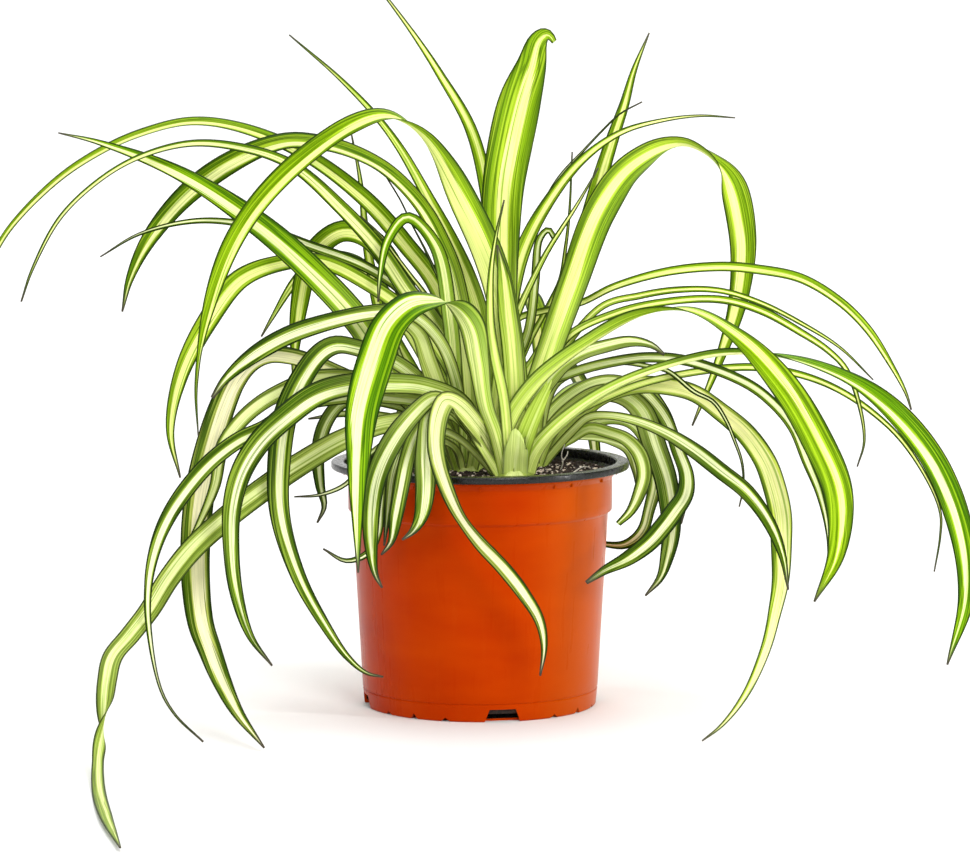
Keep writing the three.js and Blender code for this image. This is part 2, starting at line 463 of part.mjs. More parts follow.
// A turned solid with an upright axis, from its outline as [radius, height] points
function turned(outline, sides) {
  const points = outline.map(([radius, height]) => new THREE.Vector2(radius, height));
  return new THREE.LatheGeometry(points, sides).rotateX(Math.PI / 2);
}

function potOutline() {
  const grooveRadius = FOOT_RADIUS + GROOVE_FLARE;
  const lipBottom = POT_HEIGHT - LIP_HEIGHT;
  const ringInside = FOOT_RADIUS - FOOT_RING;
  const rise = FLOOR_RISE - WALL;
  const outside = [
    [0, 0],
    [PAD_RADIUS, 0],
    [PAD_RADIUS + FLOOR_SLOPE, rise],
    [ringInside - FLOOR_SLOPE, rise],
    [ringInside, 0],
    [FOOT_RADIUS - FOOT_ROUND, 0],
    [FOOT_RADIUS, FOOT_ROUND],
    [grooveRadius, GROOVE_HEIGHT - GROOVE_HALF],
    [grooveRadius - GROOVE_DEPTH, GROOVE_HEIGHT],
    [grooveRadius + 0.1, GROOVE_HEIGHT + GROOVE_HALF],
    [BODY_TOP_RADIUS, COLLAR_BOTTOM - COLLAR_SLOPE],
    [COLLAR_RADIUS, COLLAR_BOTTOM],
    [COLLAR_RADIUS, COLLAR_TOP],
    [SHOULDER_RADIUS, lipBottom - SHOULDER_SLOPE],
    [SHOULDER_RADIUS, lipBottom],
    [LIP_RADIUS - LIP_ROUND, lipBottom],
    [LIP_RADIUS, lipBottom + LIP_ROUND],
    [LIP_RADIUS, POT_HEIGHT - LIP_ROUND],
    [LIP_RADIUS - LIP_ROUND, POT_HEIGHT],
  ];
  const inside = [
    [SHOULDER_RADIUS - WALL + LIP_ROUND, POT_HEIGHT],
    [SHOULDER_RADIUS - WALL, POT_HEIGHT - LIP_ROUND],
    [SHOULDER_RADIUS - WALL, lipBottom - SHOULDER_SLOPE + INNER_SHIFT / 2],
    [COLLAR_RADIUS - WALL, COLLAR_TOP - INNER_SHIFT],
    [COLLAR_RADIUS - WALL, COLLAR_BOTTOM + INNER_SHIFT],
    [BODY_TOP_RADIUS - WALL, WAIST_HEIGHT],
    [FOOT_RADIUS - WALL, WALL + FOOT_ROUND],
    [FOOT_RADIUS - WALL - FOOT_ROUND, WALL],
    [ringInside + FLOOR_INSET, WALL],
    [ringInside + FLOOR_INSET - FLOOR_SLOPE, FLOOR_RISE],
    [PAD_RADIUS - FLOOR_INSET + FLOOR_SLOPE, FLOOR_RISE],
    [PAD_RADIUS - FLOOR_INSET, WALL],
    [0, WALL],
  ];
  return [...outside, ...inside];
}

// The radius of the inner wall, along its taper
function innerRadius(height) {
  const low = { radius: FOOT_RADIUS - WALL, height: WALL + FOOT_ROUND };
  const high = { radius: BODY_TOP_RADIUS - WALL, height: WAIST_HEIGHT };
  const part = (height - low.height) / (high.height - low.height);
  return low.radius + part * (high.radius - low.radius);
}

// A notch through the wall at the foot: its outline runs out through the wall along its own direction
function notchCut(outline, degrees) {
  const shape = new THREE.Shape(outline.map(([x, z]) => new THREE.Vector2(x, z)));
  const length = 2 * NOTCH_DEPTH;
  const cut = new THREE.ExtrudeGeometry(shape, { depth: length, bevelEnabled: false });
  cut.rotateX(Math.PI / 2).translate(0, FOOT_RADIUS + NOTCH_DEPTH, 0);
  return solid(cut.rotateZ(THREE.MathUtils.degToRad(degrees - 90)));
}

function notchCuts() {
  const below = -1;
  const { bottom, top, height } = NOTCH;
  const flare = ((bottom - top) / 2 / height) * -below;
  const large = [
    [-bottom / 2 - flare, below],
    [bottom / 2 + flare, below],
    [top / 2, height],
    [-top / 2, height],
  ];
  const cuts = [];
  for (let i = 0; i < NOTCH_COUNT; i++) {
    const degrees = FIRST_NOTCH_DEGREES + (i * 360) / NOTCH_COUNT;
    cuts.push(notchCut(large, degrees));
    for (const { turn, width, height: rise } of SMALL_NOTCHES) {
      const spread = (width / 2) * (1 - below / rise);
      const small = [
        [-spread, below],
        [spread, below],
        [0, rise],
      ];
      cuts.push(notchCut(small, degrees + turn));
    }
  }
  return cuts;
}

function makePot() {
  const body = solid(turned(potOutline(), POT_SIDES));
  return geometryOf(body.subtract(wasm.Manifold.union(notchCuts())));
}

// The soil's surface: low waves that flatten out towards the wall
function soilTop(x, y) {
  const waves = Math.sin(0.21 * x + 0.6) * Math.cos(0.17 * y) + 0.5 * Math.sin(0.33 * y - 0.25 * x);
  const edge = Math.hypot(x, y) / COLLAR_RADIUS;
  return SOIL_HEIGHT + SOIL_BUMP * waves * (1 - edge ** 4);
}

function makeSoil() {
  const topRadius = COLLAR_RADIUS - WALL - SOIL_GAP;
  const neck = { radius: topRadius, height: COLLAR_BOTTOM + SOIL_NECK };
  const waist = { radius: innerRadius(WAIST_HEIGHT) - SOIL_GAP, height: WAIST_HEIGHT };
  const bottomHeight = FLOOR_RISE + SOIL_GAP;
  const foot = { radius: innerRadius(bottomHeight) - SOIL_GAP, height: bottomHeight };
  const positions = [0, 0, soilTop(0, 0)];
  const rings = [];
  const addRing = (radius, heightAt) => {
    rings.push(positions.length / 3);
    for (let i = 0; i < SOIL_SIDES; i++) {
      const angle = (2 * Math.PI * i) / SOIL_SIDES;
      const x = radius * Math.cos(angle);
      const y = radius * Math.sin(angle);
      positions.push(x, y, heightAt(x, y));
    }
  };
  for (let ring = 1; ring <= SOIL_RINGS; ring++) addRing((topRadius * ring) / SOIL_RINGS, soilTop);
  for (const { radius, height } of [neck, waist, foot]) addRing(radius, () => height);
  const bottom = positions.length / 3;
  positions.push(0, 0, bottomHeight);
  const index = [];
  for (let i = 0; i < SOIL_SIDES; i++) {
    const next = (i + 1) % SOIL_SIDES;
    index.push(0, rings[0] + i, rings[0] + next);
    for (let ring = 1; ring < rings.length; ring++) {
      const inner = rings[ring - 1];
      const outer = rings[ring];
      index.push(inner + i, outer + i, outer + next, inner + i, outer + next, inner + next);
    }
    const last = rings[rings.length - 1];
    index.push(bottom, last + next, last + i);
  }
  const geometry = new THREE.BufferGeometry();
  geometry.setAttribute("position", new THREE.Float32BufferAttribute(positions, 3));
  geometry.setIndex(index);
  const holes = ROSETTES.map(({ x, y, radius }) => {
    const depth = CROWN_DEPTH + CROWN_GAP;
    const hole = new THREE.CylinderGeometry(radius + CROWN_GAP, radius + CROWN_GAP, 2 * depth, 2 * CROWN_SIDES);
    return solid(hole.rotateX(Math.PI / 2).translate(x, y, SOIL_HEIGHT));
  });
  return geometryOf(solid(geometry).subtract(wasm.Manifold.union(holes)));
}

// Where a leaf's point lies. What would come below the surface lies on it, nearer along the same line of sight.
function place([across, up, near]) {
  const point = SEEN_UP.clone().multiplyScalar(up).setX(across);
  const share = near / EYE_DISTANCE;
  const lying = point.z < EYE.z ? (LYING_HEIGHT - point.z) / (EYE.z - point.z) : share;
  return point.lerp(EYE, Math.max(share, lying));
}

// The value at a part of the way through a list of values at even steps, in straight lines between them or eased
function between(values, part, eased) {
  const place = part * (values.length - 1);
  const first = Math.min(Math.floor(place), values.length - 2);
  const share = eased ? THREE.MathUtils.smoothstep(place - first, 0, 1) : place - first;
  return THREE.MathUtils.lerp(values[first], values[first + 1], share);
}

// A leaf's root: inside its crown, towards the side on which the leaf comes out
function rootOf(first, crown) {
  const out = new THREE.Vector2(first.x - crown.x, first.y - crown.y);
  out.clampLength(0, 2 * ROOT_SPREAD * crown.radius).multiplyScalar(0.5);
  return new THREE.Vector3(crown.x + out.x, crown.y + out.y, SOIL_HEIGHT - ROOT_DEPTH);
}

// The leaf's middle line, with its upper side's direction and its width at each step
function leafFrames(leaf, crown) {
  const points = leaf.at.map(place);
  const curve = new THREE.CatmullRomCurve3([rootOf(points[0], crown), ...points], false, "centripetal");
  curve.arcLengthDivisions = ARC_DIVISIONS;
  const frames = [];
  let before = null;
  for (let step = 0; step <= LEAF_STEPS; step++) {
    const part = step / LEAF_STEPS;
    const along = curve.getTangentAt(part);
    const lean = THREE.MathUtils.degToRad(between(leaf.face, part, true));
    const upper = new THREE.Vector3(0, -Math.sin(lean), Math.cos(lean));
    upper.addScaledVector(along, -upper.dot(along)).normalize();
    if (before && before.dot(upper) < 0) upper.negate();
    before = upper.clone();
    const twist = leaf.turn ? THREE.MathUtils.degToRad(between(leaf.turn, part, true)) : 0;
    upper.applyAxisAngle(along, twist);
    const side = new THREE.Vector3().crossVectors(upper, along);
    const width = Math.max(between(leaf.wide, part, false), TIP_WIDTH);
    frames.push({ middle: curve.getPointAt(part), upper, side, width });
  }
  return { frames, length: curve.getLength() };
}

// A blade: a long shallow channel with thin edges, split into triangles alike on both faces
function blade(leaf, crown) {
  const { frames, length } = leafFrames(leaf, crown);
  const steps = THREE.MathUtils.clamp(Math.round(length / STEP_LENGTH), FEWEST_STEPS, MOST_STEPS);
  const positions = [];
  for (let i = 0; i <= steps; i++) {
    const { middle, upper, side, width } = frames[Math.round((LEAF_STEPS * i) / steps)];
    const lift = (LEAF_FOLD * width) / 2;
    const corners = [
      [-width / 2, lift],
      [0, LEAF_THICKNESS / 2 - lift],
      [width / 2, lift],
      [0, -LEAF_THICKNESS / 2 - lift],
    ];
    for (const [out, rise] of corners) {
      const corner = middle.clone().addScaledVector(side, out).addScaledVector(upper, rise);
      positions.push(corner.x, corner.y, corner.z);
    }
  }
  const index = [0, 1, 3, 1, 2, 3];
  for (let i = 0; i < steps; i++) {
    const [left, top, right, under] = [0, 1, 2, 3].map((corner) => 4 * i + corner);
    const quads = [
      [left, top, 1],
      [top, right, 1],
      [under, right, -1],
      [left, under, -1],
    ];
    for (const [a, b, way] of quads) {
      const faces = [
        [a, a + 4, b],
        [b, a + 4, b + 4],
      ];
      for (const face of faces) index.push(...(way > 0 ? face : face.reverse()));
    }
  }
  const last = 4 * steps;
  index.push(last, last + 3, last + 1, last + 1, last + 3, last + 2);
  const mesh = new wasm.Mesh({
    numProp: 3,
    vertProperties: new Float32Array(positions),
    triVerts: new Uint32Array(index),
  });
  return new wasm.Manifold(mesh);
}

function makeCrown({ x, y, radius }) {
  const outline = [
    [0, SOIL_HEIGHT - CROWN_DEPTH],
    [radius * CROWN_FOOT_SHARE, SOIL_HEIGHT - CROWN_DEPTH],
    [radius, SOIL_HEIGHT - CROWN_DEPTH / 2],
    [radius, SOIL_HEIGHT],
    [radius * CROWN_TOP_SHARE, SOIL_HEIGHT + CROWN_RISE / 2],
    [0, SOIL_HEIGHT + CROWN_RISE],
  ];
  return solid(turned(outline, CROWN_SIDES).translate(x, y, 0));
}

// A rosette: all its leaves joined to its crown
function makeRosette(rosette) {
  const blades = rosette.leaves.map((leaf) => blade(leaf, rosette));
  return geometryOf(wasm.Manifold.union([makeCrown(rosette), ...blades]));
}

const plant = new THREE.Group();
function addPiece(name, geometry, material) {
  const mesh = new THREE.Mesh(geometry, material);
  mesh.name = name;
  plant.add(mesh);
}

addPiece("pot", makePot(), terracotta);
addPiece("soil", makeSoil(), pottingSoil);
for (const rosette of ROSETTES) addPiece(rosette.name, makeRosette(rosette), leafGreen);

export default plant;
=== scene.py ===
"""Potted spider plant: a thin moulded nursery pot filled with soil, with four rosettes of striped leaves.

Laid out as an add-on with one operator for the pot, the soil, the leaves and the studio, and run as a script.
"""

import math
import random

import bmesh
import bpy
import numpy as np
from bpy.props import FloatProperty, FloatVectorProperty, IntProperty, PointerProperty
from mathutils import Matrix, Vector


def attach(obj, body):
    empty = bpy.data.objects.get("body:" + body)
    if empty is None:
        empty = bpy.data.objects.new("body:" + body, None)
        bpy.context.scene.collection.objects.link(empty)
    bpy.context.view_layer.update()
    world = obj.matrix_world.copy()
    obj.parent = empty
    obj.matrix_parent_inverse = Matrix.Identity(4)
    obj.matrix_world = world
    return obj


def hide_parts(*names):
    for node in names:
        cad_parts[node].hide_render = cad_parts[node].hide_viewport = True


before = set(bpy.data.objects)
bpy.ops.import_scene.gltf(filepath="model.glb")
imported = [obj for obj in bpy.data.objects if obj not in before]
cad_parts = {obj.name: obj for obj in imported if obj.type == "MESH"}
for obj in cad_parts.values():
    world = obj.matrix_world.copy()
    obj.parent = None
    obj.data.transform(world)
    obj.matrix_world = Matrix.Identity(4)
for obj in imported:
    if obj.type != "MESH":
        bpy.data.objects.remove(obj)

bl_info = {
    "name": "Potted Spider Plant",
    "version": (1, 0, 0),
    "blender": (4, 5, 0),
    "location": "View3D > Sidebar > Plant",
    "description": "Builds a potted spider plant with its soil, its leaves and a plain studio",
    "category": "Add Mesh",
}

MM = 0.001

# The pot: radii and heights in millimetres
POT_HEIGHT = 121.7
LIP_RADIUS = 74.0
LIP_HEIGHT = 3.5
LIP_ROUND = 0.9
COLLAR_RADIUS = 65.6
COLLAR_BOTTOM = 97.8
COLLAR_TOP = 114.2
COLLAR_SLOPE = 1.6
SHOULDER_RADIUS = 68.6
BODY_TOP_RADIUS = 63.6
FOOT_RADIUS = 57.8
FOOT_ROUND = 1.0
GROOVE_HEIGHT = 8.6
GROOVE_DEPTH = 0.5
GROOVE_FLARE = 0.7
WALL = 1.1
FLOOR_RISE = 3.4
FOOT_RING = 6.0
PAD_RADIUS = 20.0
BODY_ROWS = 12
CREASE_DEGREES = 38.0
# Painted light on the pot's right side: how far right of the middle, in millimetres, it starts and where it
# is full
PAINTED_LIGHT_FROM, PAINTED_LIGHT_TO = 15.0, 62.0
NOTCH_BOTTOM, NOTCH_TOP, NOTCH_HEIGHT = 17.7, 13.0, 6.3
FIRST_NOTCH_DEGREES = -79.0
SMALL_NOTCHES = [(28, 5.0, 2.0), (45, 4.4, 3.0), (62, 5.0, 2.0)]   # degrees on, width, height
NOTCH_DEPTH = 5.0

# The ribs under the lip: where they stand in each quarter, their size, and how far in and up they sit
RIB_DEGREES = [-90, -57.5, -48.5, -28]
RIB_LENGTH, RIB_WIDTH, RIB_DEPTH = 1.6, 0.9, 1.4
RIB_INSET, RIB_RISE = 1.3, 1.0

# The soil
SOIL_HEIGHT = 116.5
SOIL_GAP = 0.5
SOIL_NECK = 1.8
SOIL_WAVES = 0.6
SOIL_LUMPS = 0.45
SOIL_RINGS = 42
SOIL_SIDES = 150
STREWN_INSET = 2.2
STREWN_STEPS = 26
SMALLEST_CRUMB = 0.8
SMALLEST_CHIP, LARGEST_CHIP = 0.9, 2.6

# Rootlets on the soil, as (x, y, height over the soil): one stands up and forks, the others lie
ROOTLETS = [
    [(39.5, 2, -1), (41, 0, 3), (40.4, -1, 8), (42, -1, 12.5)],
    [(40.9, -0.3, 4.5), (43, 0, 7), (43.6, 1, 9.5)],
    [(44, -30, 0), (48, -27, 1.4), (52, -28, 1), (56, -24, 0.2)],
    [(34, -40, 0), (39, -42, 1.4), (44, -38, 1), (50, -36, 0.2)],
    [(46, -8, 0), (50, -4, 2.4), (53, 2, 2), (55, 8, 0)],
    [(-20, -44, 0), (-14, -47, 1.4), (-8, -46, 1), (-3, -49, 0.3)],
]
ROOTLET_RADIUS = 0.4
ROOTLET_SIDES = 6
ROOTLET_STEP = 0.6

# The leaves
LEAF_THICKNESS = 0.55
ACROSS = np.linspace(-1, 1, 9)
TIP_WIDTH = 0.7
DEAD_TIP = 14.0
WIDEST_DEAD_TIP = 2.5
ROOT_DEPTH = 5.0
ROOT_SPREAD = 0.35
LYING_HEIGHT = 2.0
SWAY_DEGREES = 3.0
RIPPLE = 0.03
TURN_REACH = 8.0
# Where a blade's pale base starts to turn green, over what length, and how much of it an old base keeps. The
# pale base is the leaf's own colour, made lighter as painted light to lift the shade in the plant's middle
PALE_BASE_GLOW_START, PALE_BASE_GLOW_FADE, OLD_PALE_BASE_GLOW = 10.0, 120.0, 0.15
# What changes along a blade, from its base at 0 to its tip at 1: how thick it is, how deep its channel is for
# its width, and how much of its cream band it has
THICKNESS_ALONG = ([0, 0.2, 1], [2, 1.2, 0.8])
CHANNEL_ALONG = ([0, 0.15, 0.45, 0.8, 1], [0.55, 0.42, 0.26, 0.2, 0.12])
BAND_ALONG = ([0, 0.1, 0.35, 0.85, 1], [1.1, 1.1, 1.0, 0.85, 0.3])
# How far a leaf's broken end runs on, from its one margin to the other
BROKEN_ENDS = {
    "torn": np.array([-5.0, -0.5, -2.5, 2.0, 4.0, 0.0, 2.5, -2.0, -6.0]),
    "sheath": np.array([-7.0, -3.0, -0.5, 1.0, 2.0, 2.5, 2.0, 0.5, -4.0]),
}

# A crown's outline, as shares of its radius and millimetres over the soil
CROWN_OUTLINE = [(0, -22), (0.7, -22), (0.9, -8), (0.85, 0), (0.62, 2.5), (0.4, 4), (0.2, 5), (0, 5.4)]
CROWN_SIDES = 36

# The camera: where it stands, how far it looks down, and its lens
EYE = np.array([2.4, -1986.0, 352.1])
LOOK_DOWN = math.radians(6.14)
LENS = 149.37
SENSOR_WIDTH = 36.0
SEEN_UP = np.array([0.0, math.sin(LOOK_DOWN), math.cos(LOOK_DOWN)])
FORWARD = np.array([0.0, -math.cos(LOOK_DOWN), math.sin(LOOK_DOWN)])
EYE_DISTANCE = float(EYE @ FORWARD)

# The paper sweep round the plant, in metres
FLOOR_RADIUS = 5.4
SWEEP_RADIUS = 1.6
WALL_TOP = 4.0
SWEEP_STEPS = 12
SWEEP_SIDES = 96

# The soft boxes: where each stands and what it aims at, its width and height, its power and its colour
WHITE = (1.0, 1.0, 1.0)
SOFT_BOXES = {
    "key_box": ((0.9, -2.2, 1.3), (0, 0, 0.15), (0.9, 0.9), 34, (1.0, 0.99, 0.97)),
    "side_strip": ((1.7, -0.7, 0.5), (0, 0, 0.1), (0.12, 1.2), 16, WHITE),
    "fill_box": ((-1.3, -2.1, 0.8), (0, 0, 0.16), (1.2, 1.0), 20, WHITE),
    "top_box": ((0.0, 0.3, 2.6), (0, 0, 0.1), (2.2, 2.2), 40, WHITE),
    "back_box": ((0.0, 4.0, 2.6), (0, 4.0, 0), (3.0, 4.4), 110, WHITE),
}
WORLD_LIGHT = 0.48

# Each leaf has tone, which kind of leaf it is; band, how much of its width is cream; and, at even steps from
# its base to its tip, wide, its widths in millimetres, and face, the slope in degrees of its upper side from
# upwards towards the viewer. Where they are needed, turn says by how many degrees it is twisted, and off how
# far its cream band lies off its middle, as a share of half its width. at holds its points in millimetres as
# (across, up, near) on a sloping plane through the origin that faces the camera. The nearness is a share of
# the way to the camera, so it doesn't move a point in the picture.
FRONT_LEAVES = [
    # The tall upright leaf, its tip folded over to the right
    dict(tone="young", band=[0.3], wide=[9, 9, 10, 12, 15, 18, 20.5, 22.5, 22, 13, 3], face=[80], at=[
        (14, 150, 34), (11.5, 190, 31), (10.5, 231, 28), (11.5, 257, 26), (15, 279, 24), (20, 301, 22),
        (25.5, 318, 20), (28.5, 329.5, 18), (32, 333.5, 13), (35, 333, 8), (37, 330, 6)]),
    # The big arch to the left, which shows its underside
    dict(tone="vivid", band=[0.62, 0.62, 0.6, 0.36, 0.26, 0.28, 0.3],
        wide=[11, 13, 14.5, 15.5, 15, 13, 11.5, 10.5, 9, 2.5, 0.7],
        face=[-80, -78, -74, -60, -20, 40, 60, 65, 70, 70], off=[-0.35, -0.35, -0.3, 0.3, 0.4, 0.35], at=[
        (18, 150, 44), (8, 211, 50), (-8, 249, 54), (-28, 283, 58), (-45, 293, 61), (-64, 288.5, 64),
        (-100, 261.5, 69), (-123, 231, 73), (-137, 192, 76), (-142, 158, 78), (-141, 133, 80)]),
    # The bright broad leaf that arches over the pot's left front
    dict(tone="bright", band=[0.4], wide=[7, 7.5, 9, 13, 15.5, 16.5, 18.5, 17, 11, 5.5, 1],
        face=[-60, -60, -25, 50, 72, 78, 78], at=[
        (7.5, 134, 50), (2.5, 148, 55), (-1, 170.5, 60), (-5, 189, 70), (-14, 199.5, 80), (-25, 200.5, 88),
        (-35, 198, 94), (-45, 188.5, 99), (-52, 171, 104), (-59, 145.5, 108), (-61, 120, 110),
        (-61.5, 94.5, 111), (-61, 64.5, 111)]),
    # The twisted leaf that hangs over the middle of the pot's front
    dict(tone="tan", band=[0.45], wide=[7, 8, 10.5, 10.5, 9, 8, 7, 7.5, 7, 4.5, 1], face=[60, 70, 70],
        turn=[0, 0, 0, 0, 0, 25, 50, 25, 0, 0, 0], at=[
        (3.5, 129.5, 45), (-3, 139, 54), (-9.5, 146.5, 63), (-14.5, 150, 70), (-17.5, 149.8, 75),
        (-20, 145, 80), (-21.7, 137, 86), (-22, 127, 91), (-19, 113.5, 96), (-11, 94.5, 99), (-1, 80.5, 98),
        (12, 66.5, 97), (22, 53.5, 95), (29.5, 41, 92), (32, 28, 88), (30, 13, 84)]),
    # Two short upright leaves in front of the tall one
    dict(tone="young", band=[0.36], wide=[9, 9.5, 10.5, 10.5, 10.5, 10, 7, 1], face=[75], at=[
        (17.5, 150, 48), (16, 176, 50), (13.5, 196, 52), (11.5, 213.5, 54), (8.5, 228.5, 56)]),
    dict(tone="young", band=[0.3], wide=[4.5, 5.5, 5.5, 4.5, 2.5, 0.8], face=[75], at=[
        (12, 150, 54), (7, 175, 59), (5, 191, 61), (5.5, 216, 64), (8, 233.5, 66), (12, 251, 68)]),
    # The big bright arch to the right
    dict(tone="vivid", band=[0.24], wide=[8, 8.5, 10, 10.5, 10.5, 11.5, 13.5, 15.5, 16, 11, 1],
        face=[-50, -45, -35, 15, 60, 72, 76], off=[0.2, 0.2], at=[
        (11, 127, 45), (16, 143, 51), (29, 161, 58), (52, 179, 66), (80, 194, 74), (104, 196, 81),
        (128, 183, 88), (151, 159, 94), (168, 131, 99), (179, 104, 103), (178, 74, 104), (167, 50, 102)]),
    # The longest arch to the right
    dict(tone="bright", band=[0.24], wide=[9, 9, 9, 9, 10.5, 12.5, 13.5, 14, 13, 9, 1],
        face=[-50, -40, -30, 15, 50, 62, 66], at=[
        (27, 124, 41), (36.5, 136, 42), (59.5, 153.5, 46), (87, 166, 49), (125, 174.5, 50),
        (157, 171.5, 50), (194, 155.5, 50), (225, 123, 50), (241, 83, 50), (243, 52, 48),
        (233.5, 18.5, 46)]),
    # The high arch to the right
    dict(tone="young", band=[0.38, 0.38, 0.5], wide=[9, 11, 13, 15, 16.5, 17, 15, 15.5, 11, 5, 1],
        face=[-85, -85, -85, -82, -76, -55, 5, 60, 74, 75, 75], at=[
        (23, 140, 35), (33, 171, 21), (46, 208, 10), (60.5, 246, 0), (77, 268, -8), (102, 279, -16),
        (122, 266, -22), (131, 235, -26), (129, 201, -29), (120, 172, -31), (106, 138, -33)]),
    # Four leaves that hang over the pot's left front, from the outermost inwards
    dict(tone="mature", band=[0.3], wide=[5, 5, 6, 8, 10.5, 11, 9.5, 7, 1], face=[50, 60, 75], at=[
        (-10, 143, 54), (-22, 152, 68), (-34, 143, 80), (-45, 128, 91), (-52, 112, 97), (-54.5, 96, 101),
        (-54.5, 77, 101), (-52.5, 64, 99), (-49, 57, 97)]),
    dict(tone="mature", band=[0.3], wide=[5, 5, 5.5, 6.5, 8, 8, 7, 1], face=[50, 60, 75], at=[
        (-8, 138, 46), (-20, 144, 58), (-30, 137, 70), (-36, 123, 84), (-39, 109, 92), (-42, 93, 95),
        (-44.5, 80, 94), (-49.5, 73.5, 91)]),
    dict(tone="dark", band=[0.3], wide=[4, 4, 5, 6, 6, 4.5, 1], face=[50, 60, 75], at=[
        (-10, 131, 43), (-24, 136, 56), (-36, 131, 70), (-43, 116, 81), (-46, 96, 85), (-48, 78, 85)]),
    dict(tone="mature", band=[0.38], wide=[5, 5, 6, 7, 8, 11, 8.5, 1], face=[50, 60, 75], at=[
        (-8, 139, 52), (-19, 147, 67), (-26, 142, 79), (-27.5, 124, 87), (-27.5, 106, 90), (-29.5, 93, 91),
        (-33.5, 85.5, 95), (-39, 81, 99)]),
    # The short broad leaf between the arches to the right
    dict(tone="mature", band=[0.4], wide=[6, 8, 10, 11, 10.5, 8, 2], face=[45, 40, 40], at=[
        (27, 148, 41), (39, 166, 44), (50, 173.5, 46), (62, 177.5, 46), (76, 180, 46), (86, 178, 46),
        (92, 173.5, 45)]),
    # The torn yellow base of an old leaf, and the pale cut sheath in front of it
    dict(tone="torn", band=[0], wide=[9, 10, 10, 9, 6], face=[60], at=[
        (20, 124, 44), (23, 134, 47), (28, 146, 49), (34, 158, 50)]),
    dict(tone="sheath", band=[0], wide=[12, 12.5, 12, 9], face=[85], at=[
        (17.5, 119, 48), (18, 126, 51), (18.5, 134, 52)]),
]

